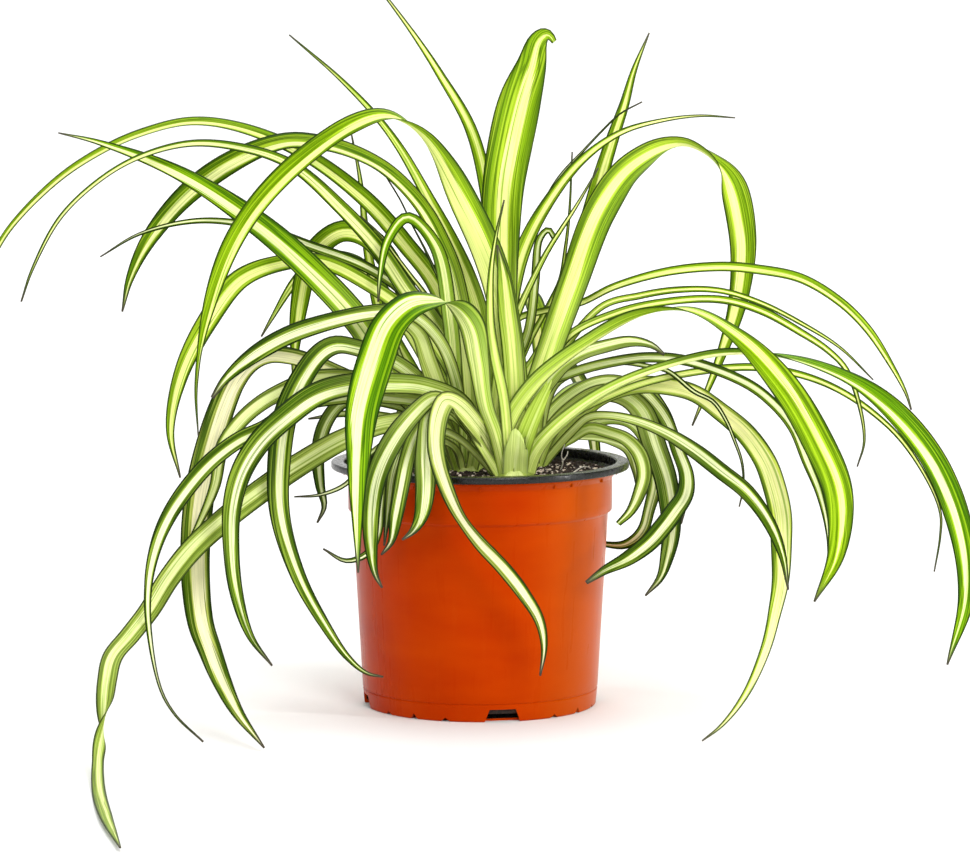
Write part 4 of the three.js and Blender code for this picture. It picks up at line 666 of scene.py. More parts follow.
    bump = node(tree, "ShaderNodeBump", {"Height": fine, "Strength": 0.6, "Distance": 0.35 * MM})
    shader = node(tree, "ShaderNodeBsdfPrincipled", {
        "Base Color": colour, "Roughness": masks["roughness"], "Normal": bump.outputs["Normal"], "IOR": 1.42,
        "Specular IOR Level": 0.06, "Subsurface Weight": 0.06, "Subsurface Radius": (0.8, 1.0, 0.25),
        "Subsurface Scale": 0.8 * MM})
    finish_material(tree, shader)
    return material


def pot_material():
    """Thin moulded polypropylene, coloured through: satin, with a faint orange-peel skin, a slow change of
    colour where the sheet was drawn thinner, painted light that makes its right side lighter, and with fine
    rubbed marks and dust."""
    material, tree = new_material("terracotta_polypropylene")
    place = node(tree, "ShaderNodeTexCoord").outputs["Object"]
    # How many millimetres wide and high the clouds of colour, the skin's dimples and the rubbed marks are
    patterns = []
    for wide, high, detail in ((55.6, 17.9, 3.0), (1.43, 1.43, 2.0), (3.85, 45.5, 4.0)):
        scale = [1 / (size * MM) for size in (wide, wide, high)]
        scaled = node(tree, "ShaderNodeVectorMath", {0: place, 1: scale}, operation="MULTIPLY")
        patterns.append(node(tree, "ShaderNodeTexNoise", {"Vector": scaled.outputs[0], "Scale": 1.0,
                                                          "Detail": detail}).outputs["Fac"])
    cloud, skin, marks = patterns
    east = node(tree, "ShaderNodeSeparateXYZ", {0: place}).outputs[0]
    # Painted light: the pot's right side turns a lighter orange, as if lit more from the right
    painted_light_side = node(tree, "ShaderNodeMapRange", {"Value": east, "From Min": PAINTED_LIGHT_FROM * MM,
                                               "From Max": PAINTED_LIGHT_TO * MM}, interpolation_type="SMOOTHSTEP")
    tint = node(tree, "ShaderNodeMapRange", {"Value": cloud, "From Min": 0.3, "From Max": 0.7})
    dust = node(tree, "ShaderNodeMapRange", {"Value": marks, "From Min": 0.6, "From Max": 0.78,
                                             "To Max": 0.08})
    colour = linear("#A02900")
    # Random clouds of tint, then the painted light on the right side, then dust
    for mask, other in ((tint, "#AC3500"), (painted_light_side, "#B24A00"), (dust, "#B85014")):
        colour = node(tree, "ShaderNodeMix", {0: mask.outputs[0], 6: colour, 7: linear(other)},
                      data_type="RGBA").outputs[2]
    rough = node(tree, "ShaderNodeMapRange", {"Value": marks, "From Min": 0.3, "From Max": 0.75,
                                              "To Min": 0.26, "To Max": 0.34})
    bump = node(tree, "ShaderNodeBump", {"Height": skin, "Strength": 0.12, "Distance": 0.15 * MM})
    shader = node(tree, "ShaderNodeBsdfPrincipled", {
        "Base Color": colour, "Roughness": rough.outputs[0], "Normal": bump.outputs["Normal"],
        "IOR": 1.49, "Specular IOR Level": 0.12, "Specular Tint": linear("#FF9A50")})
    finish_material(tree, shader)
    return material


def lip_material():
    """The same sheet's black inner face, rolled over at the lip: glossier, with dust and dried splashes."""
    material, tree = new_material("black_polypropylene")
    place = node(tree, "ShaderNodeTexCoord").outputs["Object"]
    specks = node(tree, "ShaderNodeTexNoise", {"Vector": place, "Scale": 1 / (2.38 * MM), "Detail": 4.0})
    dust = node(tree, "ShaderNodeMapRange", {"Value": specks.outputs["Fac"], "From Min": 0.56,
                                             "From Max": 0.74, "To Min": 0.0, "To Max": 0.35})
    colour = node(tree, "ShaderNodeMix", {0: dust.outputs[0], 6: linear("#030504"), 7: linear("#1E2624")},
                  data_type="RGBA")
    rough = node(tree, "ShaderNodeMapRange", {"Value": specks.outputs["Fac"], "From Min": 0.3,
                                              "From Max": 0.75, "To Min": 0.16, "To Max": 0.42})
    shader = node(tree, "ShaderNodeBsdfPrincipled", {
        "Base Color": colour.outputs[2], "Roughness": rough.outputs[0], "IOR": 1.49,
        "Specular IOR Level": 0.4})
    finish_material(tree, shader)
    return material


def crumb_material(name, dark, light, grain_mm):
    """Peat, bark or grit: rough and dull, each crumb mottled between a darker and a lighter brown."""
    material, tree = new_material(name)
    place = node(tree, "ShaderNodeTexCoord").outputs["Object"]
    mottle = node(tree, "ShaderNodeTexNoise", {"Vector": place, "Scale": 1 / (grain_mm * MM),
                                               "Detail": 5.0, "Roughness": 0.65})
    share = node(tree, "ShaderNodeMapRange", {"Value": mottle.outputs["Fac"], "From Min": 0.35,
                                              "From Max": 0.68})
    colour = node(tree, "ShaderNodeMix", {0: share.outputs[0], 6: linear(dark), 7: linear(light)},
                  data_type="RGBA")
    bump = node(tree, "ShaderNodeBump", {"Height": mottle.outputs["Fac"], "Strength": 0.8,
                                         "Distance": 0.8 * MM})
    shader = node(tree, "ShaderNodeBsdfPrincipled", {
        "Base Color": colour.outputs[2], "Roughness": 0.92, "Normal": bump.outputs["Normal"]})
    finish_material(tree, shader)
    return material


# The pot

def pot_outline():
    """The wall's outline in millimetres, from the middle of the underside up, over the lip and down inside,
    with the row of points at which the black inner face starts. The small offsets ease its corners."""
    groove = FOOT_RADIUS + GROOVE_FLARE
    lip_bottom = POT_HEIGHT - LIP_HEIGHT
    ring = FOOT_RADIUS - FOOT_RING
    rise = FLOOR_RISE - WALL

    def corner(cx, cz, radius, start, stop, steps=5):
        angles = [math.radians(start + (stop - start) * i / steps) for i in range(steps + 1)]
        return [(cx + radius * math.cos(a), cz + radius * math.sin(a)) for a in angles]

    outside = [(0, 0), (PAD_RADIUS, 0), (PAD_RADIUS + 0.6, 0.3), (PAD_RADIUS + 1.6, rise - 0.3),
               (PAD_RADIUS + 2.2, rise), (ring - 2.2, rise), (ring - 1.6, rise - 0.3), (ring - 0.6, 0.3),
               (ring, 0)]
    outside += corner(FOOT_RADIUS - FOOT_ROUND, FOOT_ROUND, FOOT_ROUND, -90, 0)
    outside += [(groove - 0.1, GROOVE_HEIGHT - 1.1), (groove, GROOVE_HEIGHT - 0.7),
                (groove - 0.15, GROOVE_HEIGHT - 0.45), (groove - GROOVE_DEPTH, GROOVE_HEIGHT - 0.1),
                (groove - GROOVE_DEPTH, GROOVE_HEIGHT + 0.1), (groove - 0.05, GROOVE_HEIGHT + 0.45),
                (groove + 0.1, GROOVE_HEIGHT + 0.8)]
    top = COLLAR_BOTTOM - COLLAR_SLOPE
    for i in range(1, BODY_ROWS):
        share = i / BODY_ROWS
        radius = groove + 0.1 + (BODY_TOP_RADIUS - groove - 0.1) * share
        outside.append((radius, GROOVE_HEIGHT + 0.8 + (top - GROOVE_HEIGHT - 0.8) * share))
    outside += [(BODY_TOP_RADIUS, top), (BODY_TOP_RADIUS + 0.25, top + 0.35),
                (COLLAR_RADIUS - 0.4, COLLAR_BOTTOM - 0.4), (COLLAR_RADIUS, COLLAR_BOTTOM + 0.2)]
    outside += [(COLLAR_RADIUS, COLLAR_BOTTOM + (COLLAR_TOP - COLLAR_BOTTOM) * i / 4) for i in (1, 2, 3)]
    outside += [(COLLAR_RADIUS, COLLAR_TOP - 0.5), (COLLAR_RADIUS + 0.3, COLLAR_TOP + 0.1),
                (SHOULDER_RADIUS - 0.5, lip_bottom - 1.7), (SHOULDER_RADIUS, lip_bottom - 1.0),
                (SHOULDER_RADIUS, lip_bottom)]
    black = len(outside)
    lip = corner(LIP_RADIUS - LIP_ROUND, lip_bottom + LIP_ROUND, LIP_ROUND, -90, 0)
    lip += corner(LIP_RADIUS - LIP_ROUND, POT_HEIGHT - LIP_ROUND, LIP_ROUND, 0, 90)
    throat = SHOULDER_RADIUS - WALL
    lip += corner(throat + LIP_ROUND, POT_HEIGHT - LIP_ROUND, LIP_ROUND, 90, 180)
    inner = COLLAR_RADIUS - WALL
    inside = [(throat, lip_bottom - 1), (inner + 0.2, COLLAR_TOP - 0.1), (inner, COLLAR_TOP - 0.7),
              (inner, COLLAR_BOTTOM + 0.4), (BODY_TOP_RADIUS - WALL, COLLAR_BOTTOM - 1.2),
              (FOOT_RADIUS - WALL, WALL + 1), (FOOT_RADIUS - WALL - 1, WALL), (ring + 0.7, WALL),
              (ring - 1.3, FLOOR_RISE), (PAD_RADIUS + 1.3, FLOOR_RISE), (PAD_RADIUS - 0.7, WALL), (0, WALL)]
    return outside + lip + inside, black


def notch_cutter():
    """Prisms through the wall at the foot, four large notches and three small ones between each two."""
    shapes = bmesh.new()
    below = -1.0
    flare = (NOTCH_BOTTOM - NOTCH_TOP) / 2 / NOTCH_HEIGHT
    large = [(-NOTCH_BOTTOM / 2 - flare, below), (NOTCH_BOTTOM / 2 + flare, below),
             (NOTCH_TOP / 2, NOTCH_HEIGHT), (-NOTCH_TOP / 2, NOTCH_HEIGHT)]
    cuts = []
    for quarter in range(4):
        degrees = FIRST_NOTCH_DEGREES + 90 * quarter
        cuts.append((degrees, large))
        for turn, width, rise in SMALL_NOTCHES:
            spread = width / 2 * (1 - below / rise)
            cuts.append((degrees + turn, [(-spread, below), (spread, below), (0.0, rise)]))
    for degrees, outline in cuts:
        spin = Matrix.Rotation(math.radians(degrees + 90), 3, "Z")
        ends = []
        for depth in (-FOOT_RADIUS - NOTCH_DEPTH, -FOOT_RADIUS + NOTCH_DEPTH):
            ends.append([shapes.verts.new(spin @ Vector((x, depth, z)) * MM) for x, z in outline])
        count = len(outline)
        shapes.faces.new(ends[0])
        shapes.faces.new(reversed(ends[1]))
        for i in range(count):
            j = (i + 1) % count
            shapes.faces.new((ends[0][j], ends[0][i], ends[1][i], ends[1][j]))
    bmesh.ops.recalc_face_normals(shapes, faces=shapes.faces)
    mesh = bpy.data.meshes.new("notch_cutter")
    shapes.to_mesh(mesh)
    shapes.free()
    return new_object("notch_cutter", mesh)


def make_pot(sides):
    """The pot, turned from its outline, with the notches cut out of its foot."""
    outline, black = pot_outline()
    vertices, faces = turned(outline, sides)
    mesh = new_mesh("pot_shell", vertices * MM, faces)
    mesh.polygons.foreach_set("material_index", [int(k // sides >= black - 1) for k in range(len(faces))])
    mesh.materials.append(pot_material())
    mesh.materials.append(lip_material())
    shell = new_object("pot_shell", mesh)
    cutter = notch_cutter()
    cut = shell.modifiers.new("notches", "BOOLEAN")
    cut.object = cutter
    cut.operation = "DIFFERENCE"
    cut.solver = "EXACT"
    bake_modifiers(shell)
    bpy.data.objects.remove(cutter)
    shell.data.name = "pot_shell"
    shell.data.polygons.foreach_set("use_smooth", [True] * len(shell.data.polygons))
    shell.data.set_sharp_from_angle(angle=math.radians(CREASE_DEGREES))
    return shell


def make_ribs():
    """Small upright ribs under the lip, in four like groups round the pot, made by a node tree."""
    group = bpy.data.node_groups.new("ribs_round_a_ring", "GeometryNodeTree")
    group.is_modifier = True
    face = group.interface
    face.new_socket("Geometry", in_out="INPUT", socket_type="NodeSocketGeometry")
    sockets = {name: face.new_socket(name, in_out="INPUT", socket_type="NodeSocketFloat").identifier
               for name in ("Ring Radius", "Ring Height", "Rib Length", "Rib Width", "Rib Depth")}
    stuff = face.new_socket("Finish", in_out="INPUT", socket_type="NodeSocketMaterial").identifier
    face.new_socket("Geometry", in_out="OUTPUT", socket_type="NodeSocketGeometry")
    enter = node(group, "NodeGroupInput").outputs
    position = node(group, "GeometryNodeInputPosition").outputs[0]
    angles = node(group, "ShaderNodeSeparateXYZ", {0: position}).outputs
    turn = node(group, "ShaderNodeMath", {0: angles[1], 1: angles[0]}, operation="ARCTAN2").outputs[0]
    facing = node(group, "ShaderNodeCombineXYZ", {2: turn})
    outward = node(group, "ShaderNodeVectorMath", {0: position}, operation="NORMALIZE").outputs[0]
    ringed = node(group, "ShaderNodeVectorMath", {0: outward, "Scale": enter["Ring Radius"]},
                  operation="SCALE").outputs[0]
    lift = node(group, "ShaderNodeCombineXYZ", {2: enter["Ring Height"]}).outputs[0]
    spot = node(group, "ShaderNodeVectorMath", {0: ringed, 1: lift}, operation="ADD").outputs[0]
    placed = node(group, "GeometryNodeSetPosition", {"Geometry": enter["Geometry"], "Position": spot})
    size = node(group, "ShaderNodeCombineXYZ", {0: enter["Rib Depth"], 1: enter["Rib Width"],
                                                2: enter["Rib Length"]}).outputs[0]
    bar = node(group, "GeometryNodeMeshCube", {"Size": size, "Vertices X": 3, "Vertices Y": 3,
                                               "Vertices Z": 2}).outputs["Mesh"]
    rotation = node(group, "FunctionNodeEulerToRotation", {0: facing.outputs[0]}).outputs[0]
    copies = node(group, "GeometryNodeInstanceOnPoints", {"Points": placed.outputs[0], "Instance": bar,
                                                          "Rotation": rotation})
    real = node(group, "GeometryNodeRealizeInstances", {"Geometry": copies.outputs[0]})
    done = node(group, "GeometryNodeSetMaterial", {"Geometry": real.outputs[0], "Material": enter["Finish"]})
    node(group, "NodeGroupOutput", {0: done.outputs[0]})

    mesh = bpy.data.meshes.new("lip_ribs")
    angles = [math.radians(degrees + 90 * quarter) for quarter in range(4) for degrees in RIB_DEGREES]
    mesh.from_pydata([(math.cos(a) * MM, math.sin(a) * MM, 0) for a in angles], [], [])
    ribs = new_object("lip_ribs", mesh)
    tree = ribs.modifiers.new("ribs", "NODES")
    tree.node_group = group
    values = {"Ring Radius": SHOULDER_RADIUS - RIB_INSET, "Ring Height": COLLAR_TOP + RIB_RISE,
              "Rib Length": RIB_LENGTH, "Rib Width": RIB_WIDTH, "Rib Depth": RIB_DEPTH}
    for name, value in values.items():
        tree[sockets[name]] = value * MM
    tree[stuff] = bpy.data.materials["terracotta_polypropylene"]
    return bake_modifiers(ribs)


# The soil

def soil_height(x, y):
    """The soil's surface in millimetres: low waves that flatten out towards the wall, and loose lumps."""
    waves = np.sin(0.21 * x + 0.6) * np.cos(0.17 * y) + 0.5 * np.sin(0.33 * y - 0.25 * x)
    lumps = np.sin(0.93 * x + 0.7 * y) * np.cos(0.81 * y - 0.45 * x)
    lumps = lumps + 0.6 * np.sin(1.9 * x) * np.cos(1.7 * y + x)
    edge = np.hypot(x, y) / COLLAR_RADIUS
    return SOIL_HEIGHT + SOIL_WAVES * waves * (1 - edge ** 4) + SOIL_LUMPS * lumps


def make_soil():
    """A closed body of soil with a lumpy top."""
    radius = COLLAR_RADIUS - WALL - SOIL_GAP
    lower = [(FOOT_RADIUS - WALL - SOIL_GAP + 0.1, FLOOR_RISE + SOIL_GAP),
             (BODY_TOP_RADIUS - WALL - SOIL_GAP, COLLAR_BOTTOM - 1.4), (radius, COLLAR_BOTTOM + SOIL_NECK)]
    top = [(radius * ring / SOIL_RINGS, SOIL_HEIGHT) for ring in range(SOIL_RINGS, -1, -1)]
    vertices, faces = turned(lower + top, SOIL_SIDES)
    lumpy = vertices[len(lower) * SOIL_SIDES:]
    lumpy[:, 2] = soil_height(lumpy[:, 0], lumpy[:, 1])
    faces.append(tuple(reversed(range(SOIL_SIDES))))
    mesh = new_mesh("soil_body", vertices * MM, faces)
    mesh.materials.append(crumb_material("peat", "#150C07", "#3A271B", 1.6))
    return new_object("soil_body", mesh)


def strewn_tree(name):
    """A node tree that strews small lumps over a surface: its points, their sizes and turns are random."""
    group = bpy.data.node_groups.new(name, "GeometryNodeTree")
    group.is_modifier = True
    face = group.interface
    face.new_socket("Geometry", in_out="INPUT", socket_type="NodeSocketGeometry")
    sockets = {}
    for label, kind in (("Density", "Float"), ("Smallest", "Float"), ("Largest", "Float"),
                        ("Flatness", "Float"), ("Seed", "Int"), ("Finish", "Material")):
        sockets[label] = face.new_socket(label, in_out="INPUT", socket_type="NodeSocket" + kind).identifier
    face.new_socket("Geometry", in_out="OUTPUT", socket_type="NodeSocketGeometry")
    enter = node(group, "NodeGroupInput").outputs
    points = node(group, "GeometryNodeDistributePointsOnFaces", {
        "Mesh": enter["Geometry"], "Density": enter["Density"], "Seed": enter["Seed"]})
    lump = node(group, "GeometryNodeMeshIcoSphere", {"Radius": 0.5, "Subdivisions": 2}).outputs["Mesh"]
    here = node(group, "GeometryNodeInputPosition").outputs[0]
    rough = node(group, "ShaderNodeTexNoise", {"Vector": here, "Scale": 2.6}).outputs["Color"]
    centred = node(group, "ShaderNodeVectorMath", {0: rough, 1: (0.5, 0.5, 0.5)}, operation="SUBTRACT")
    push = node(group, "ShaderNodeVectorMath", {0: centred.outputs[0], "Scale": 0.9}, operation="SCALE")
    broken = node(group, "GeometryNodeSetPosition", {"Geometry": lump, "Offset": push.outputs[0]})
    squash = node(group, "ShaderNodeCombineXYZ", {0: 1.0, 1: 0.75, 2: enter["Flatness"]}).outputs[0]
    flat = node(group, "GeometryNodeTransform", {"Geometry": broken.outputs[0], "Scale": squash})
    size = node(group, "FunctionNodeRandomValue", {"Min": enter["Smallest"], "Max": enter["Largest"],
                                                   "Seed": enter["Seed"]}, data_type="FLOAT")
    spin = node(group, "FunctionNodeRandomValue", {0: (-0.5, -0.5, 0.0), 1: (0.5, 0.5, 2 * math.pi),
                                                   "Seed": enter["Seed"]}, data_type="FLOAT_VECTOR")
    copies = node(group, "GeometryNodeInstanceOnPoints", {
        "Points": points.outputs["Points"], "Instance": flat.outputs[0], "Rotation": spin.outputs[0],
        "Scale": size.outputs[1]})
    real = node(group, "GeometryNodeRealizeInstances", {"Geometry": copies.outputs[0]})
    done = node(group, "GeometryNodeSetMaterial", {"Geometry": real.outputs[0], "Material": enter["Finish"]})
    node(group, "NodeGroupOutput", {0: done.outputs[0]})
    return group, sockets


def soil_surface():
    """The open disc of the soil's top, on which the crumbs are strewn: a square grid drawn out to a round."""
    radius = COLLAR_RADIUS - WALL - STREWN_INSET
    grid = 2 * np.arange(STREWN_STEPS + 1) / STREWN_STEPS - 1
    u, v = (side.ravel() for side in np.meshgrid(grid, grid, indexing="ij"))
    x, y = radius * u * np.sqrt(1 - v * v / 2), radius * v * np.sqrt(1 - u * u / 2)
    faces = []
    for i in range(STREWN_STEPS):
        for j in range(STREWN_STEPS):
            a = i * (STREWN_STEPS + 1) + j
            faces.append((a, a + STREWN_STEPS + 1, a + STREWN_STEPS + 2, a + 1))
    return new_mesh("soil_surface", np.stack([x, y, soil_height(x, y)], axis=1) * MM, faces)


def strew(name, group, sockets, **values):
    """Small lumps strewn over the soil by the node tree, from its inputs' values."""
    crumbs = new_object(name, soil_surface())
    tree = crumbs.modifiers.new("strewn", "NODES")
    tree.node_group = group
    for label, value in values.items():
        tree[sockets[label]] = value
    return bake_modifiers(crumbs)


def make_rootlets():
    """Thin pale roots, each a tapered tube along a smooth line."""
    vertices, faces = [], []
    turns = np.linspace(0, 2 * np.pi, ROOTLET_SIDES, endpoint=False)[:, None]
    for path in ROOTLETS:
        points = np.array(path, float)
        points[:, 2] += soil_height(points[:, 0], points[:, 1])
        line, _ = smooth_line(points, ROOTLET_STEP)
        along = unit(np.gradient(line, axis=0))
        side = unit(np.cross(along, (0.3, 0.9, 0.2)))
        up = np.cross(along, side)
        radii = np.linspace(ROOTLET_RADIUS, ROOTLET_RADIUS / 2, len(line))[:, None, None]
        rings = line[:, None] + radii * (side[:, None] * np.cos(turns) + up[:, None] * np.sin(turns))
        rows = (np.arange(len(line) * ROOTLET_SIDES).reshape(len(line), -1) + len(vertices)).tolist()
        vertices += rings.reshape(-1, 3).tolist()
        faces += [*joined(rows), tuple(reversed(rows[0])), tuple(rows[-1])]
    mesh = new_mesh("rootlets", np.array(vertices) * MM, faces)
    mesh.materials.append(crumb_material("rootlet", "#8E8676", "#F0EADC", 0.6))
    return new_object("rootlets", mesh)


# The leaves

def place(points):
    """Where a leaf's points lie. What would come below the surface lies on it, nearer along the same line."""
    points = np.array(points, float)
    flat = points[:, 1:2] * SEEN_UP
    flat[:, 0] = points[:, 0]
    share = points[:, 2] / EYE_DISTANCE
    above = flat[:, 2] >= EYE[2]
    lying = np.where(above, share, (LYING_HEIGHT - flat[:, 2]) / np.where(above, 1.0, EYE[2] - flat[:, 2]))
    return flat + (EYE - flat) * np.maximum(share, lying)[:, None]


def smooth_line(points, spacing):
    """Evenly spaced points on a centripetal Catmull-Rom curve through the given ones."""
    ends = [2 * points[0] - points[1], *points, 2 * points[-1] - points[-2]]
    fine = []
    for p0, p1, p2, p3 in zip(ends, ends[1:], ends[2:], ends[3:]):
        d0, d1, d2 = (max(np.linalg.norm(b - a) ** 0.5, 1e-4) for a, b in ((p0, p1), (p1, p2), (p2, p3)))
        m1 = ((p1 - p0) / d0 - (p2 - p0) / (d0 + d1) + (p2 - p1) / d1) * d1
        m2 = ((p2 - p1) / d1 - (p3 - p1) / (d1 + d2) + (p3 - p2) / d2) * d1
        t = np.linspace(0, 1, 24, endpoint=False)[:, None]
        fine.append((2 * t ** 3 - 3 * t ** 2 + 1) * p1 + (t ** 3 - 2 * t ** 2 + t) * m1
                    + (3 * t ** 2 - 2 * t ** 3) * p2 + (t ** 3 - t ** 2) * m2)
    fine = np.vstack([*fine, points[-1:]])
    run = np.concatenate([[0], np.cumsum(np.linalg.norm(np.diff(fine, axis=0), axis=1))])
    count = max(int(run[-1] / spacing), 12)
    even = np.linspace(0, run[-1], count + 1)
    return np.stack([np.interp(even, run, fine[:, k]) for k in range(3)], axis=1), run[-1]


def eased(values, parts):
    """A list of values at even steps, read at parts of the way through it and eased between them."""
    where = parts * (len(values) - 1)
    step = np.floor(where)
    share = where - step
    return np.interp(step + share * share * (3 - 2 * share), np.arange(len(values)), values)


def softened(rows, reach):
    """The rows of an array, each averaged with those up to reach away."""
    if reach < 1:
        return rows
    padded = np.vstack([np.repeat(rows[:1], reach, 0), rows, np.repeat(rows[-1:], reach, 0)])
    total = np.cumsum(np.vstack([np.zeros((1, rows.shape[1])), padded]), axis=0)
    return (total[2 * reach + 1:] - total[:-2 * reach - 1]) / (2 * reach + 1)


def leaf_widths(wide, parts):
    """A blade's width at each part of its length, its changes of taper rounded off but its tip left sharp."""
    plain = np.interp(parts, np.linspace(0, 1, len(wide)), wide)
    rounded = softened(plain[:, None], len(parts) // 20)[:, 0]
    return np.maximum(np.minimum(plain, rounded), TIP_WIDTH)


def blade_axes(leaf, line, parts, chance, settings):
    """The directions along a blade, out of its upper side and across it, at each station."""
    along = unit(np.gradient(line, axis=0))
    lean = np.radians(eased(leaf["face"], parts))
    upper = np.stack([np.zeros(len(line)), -np.sin(lean), np.cos(lean)], axis=1)
    upper = unit(upper - (upper * along).sum(1)[:, None] * along)
    for i in range(1, len(line)):
        if upper[i] @ upper[i - 1] < 0:
            upper[i] = -upper[i]
    upper = softened(upper, int(TURN_REACH / settings.station_spacing))
    upper = unit(upper - (upper * along).sum(1)[:, None] * along)
    side = np.cross(upper, along)
    sway = SWAY_DEGREES * np.sin(parts * chance.uniform(5, 9) + chance.uniform(0, 6))
    twist = np.radians(eased(leaf.get("turn", [0]), parts) + sway)[:, None]
    return along, upper * np.cos(twist) - side * np.sin(twist), side * np.cos(twist) + upper * np.sin(twist)


def blade_faces(count):
    """The faces round a blade of so many stations, and those that close its ends."""
    across = len(ACROSS)
    loop = [*range(across), *reversed(range(across, 2 * across))]
    rows = [[2 * across * i + k for k in loop] for i in range(count)]
    faces = joined(rows)
    for row, way in ((rows[0], 1), (rows[-1], -1)):
        for j in range(across - 1):
            faces.append((row[j], row[-1 - j], row[-2 - j], row[j + 1])[::way])
    return faces


def blade_places(leaf, parts, length, widths, chance):
    """Where each vertex is on its blade, and what it has there, for the leaf's colours to follow."""
    seed = chance.uniform(0, 900)
    band = np.interp(parts, np.linspace(0, 1, len(leaf["band"])), leaf["band"])
    off = leaf.get("off") or [chance.uniform(-0.2, 0.2)]
    lean = np.interp(parts, np.linspace(0, 1, len(off)), off)
    lean += 0.07 * np.sin(parts * chance.uniform(3, 7) + chance.uniform(0, 6))
    # Pale near the base: partly the leaf's own colour, partly painted light in the shaded middle of the plant
    bare = np.clip(1 - (parts * length - PALE_BASE_GLOW_START) / PALE_BASE_GLOW_FADE, 0, 1) ** 1.3
    if leaf["tone"] in BROKEN_ENDS:
        bare *= OLD_PALE_BASE_GLOW
    age = np.clip((parts - 1) * length / DEAD_TIP + 1, 0, 1) ** 1.5 * (widths[-1, 0] < WIDEST_DEAD_TIP)
    by_station = {"v": parts, "mm_y": parts * length, "band": band * np.interp(parts, *BAND_ALONG),
                  "lean": lean, "bare": bare, "age": age}
    places = {key: values[:, None, None] for key, values in by_station.items()}
    places["u"] = (ACROSS + 1) / 2
    places["mm_x"] = (widths / 2 * ACROSS)[:, None]
    places["mm_z"] = seed
    places["under"] = np.array([0.0, 1.0])[:, None]
    places["rim_mm"] = (widths / 2 * (1 - np.abs(ACROSS)))[:, None]
    shape = (len(parts), 2, len(ACROSS))
    return {key: np.broadcast_to(values, shape).ravel() for key, values in places.items()}


def leaf_blade(leaf, crown, chance, settings):
    """One blade as vertices, faces, and each vertex's place on the blade."""
    points = place(leaf["at"])
    out = points[0, :2] - crown[:2]
    reach = max(float(np.hypot(*out)), 0.1)
    spot = np.array(crown[:2]) + out / reach * min(0.5 * reach, ROOT_SPREAD * crown[2])
    root = np.array([[*spot, SOIL_HEIGHT - ROOT_DEPTH]])
    line, length = smooth_line(np.vstack([root, points]), settings.station_spacing)
    parts = np.linspace(0, 1, len(line))
    along, upper, side = blade_axes(leaf, line, parts, chance, settings)

    # The section at each station: a channel, thin and a little rippled at its margins
    widths = leaf_widths(leaf["wide"], parts)[:, None]
    spread = np.abs(ACROSS)
    channel = np.interp(parts, *CHANNEL_ALONG)[:, None] * settings.fold
    ripple = RIPPLE * np.sin(parts[:, None] * chance.uniform(14, 22) + chance.uniform(0, 6)
                             + (ACROSS > 0) * chance.uniform(1, 3))
    lift = (channel * (spread ** 1.35 - 0.5) / 2 + ripple * spread ** 3) * widths
    thick = LEAF_THICKNESS * np.interp(parts, *THICKNESS_ALONG)[:, None] * (1 - 0.7 * spread ** 3)
    thick = np.minimum(thick, widths / 2)
    rise = np.stack([lift + thick / 2, lift - thick / 2], axis=1)[..., None]
    rows = line[:, None, None] + side[:, None, None] * (widths / 2 * ACROSS)[:, None, :, None]
    rows = rows + upper[:, None, None] * rise
    if leaf["tone"] in BROKEN_ENDS:
        broken = BROKEN_ENDS[leaf["tone"]] * np.clip(parts[:, None] * 4 - 3, 0, 1)
        rows += along[:, None, None] * broken[:, None, :, None]
    places = blade_places(leaf, parts, length, widths, chance)
    return rows.reshape(-1, 3), blade_faces(len(line)), places


def crown_stem(x, y, radius):
    """The crown, a short fleshy stem ribbed by the leaf bases that clasp it, as leaf_blade gives a blade."""
    vertices, faces = turned(CROWN_OUTLINE, CROWN_SIDES)
    turn = np.maximum(np.arange(len(vertices)) - 1, 0) % CROWN_SIDES / CROWN_SIDES
    angle = 2 * np.pi * turn
    height = vertices[:, 2]
    swell = 1 + 0.09 * np.sin(5 * angle + height * 0.12) + 0.05 * np.sin(9 * angle - height * 0.2)
    vertices[:, :2] *= radius * swell[:, None]
    # The crown takes some of the pale base colour, which is partly painted light
    places = {"u": np.abs(turn * 2 - 1), "mm_x": turn * 60, "band": 0.3, "bare": 0.35, "rim_mm": 3.0}
    places |= {key: 0.0 for key in ("v", "mm_y", "mm_z", "lean", "age", "under")}
    places = {key: np.broadcast_to(np.asarray(value, float), turn.shape) for key, value in places.items()}
    return vertices + (x, y, SOIL_HEIGHT), faces, places


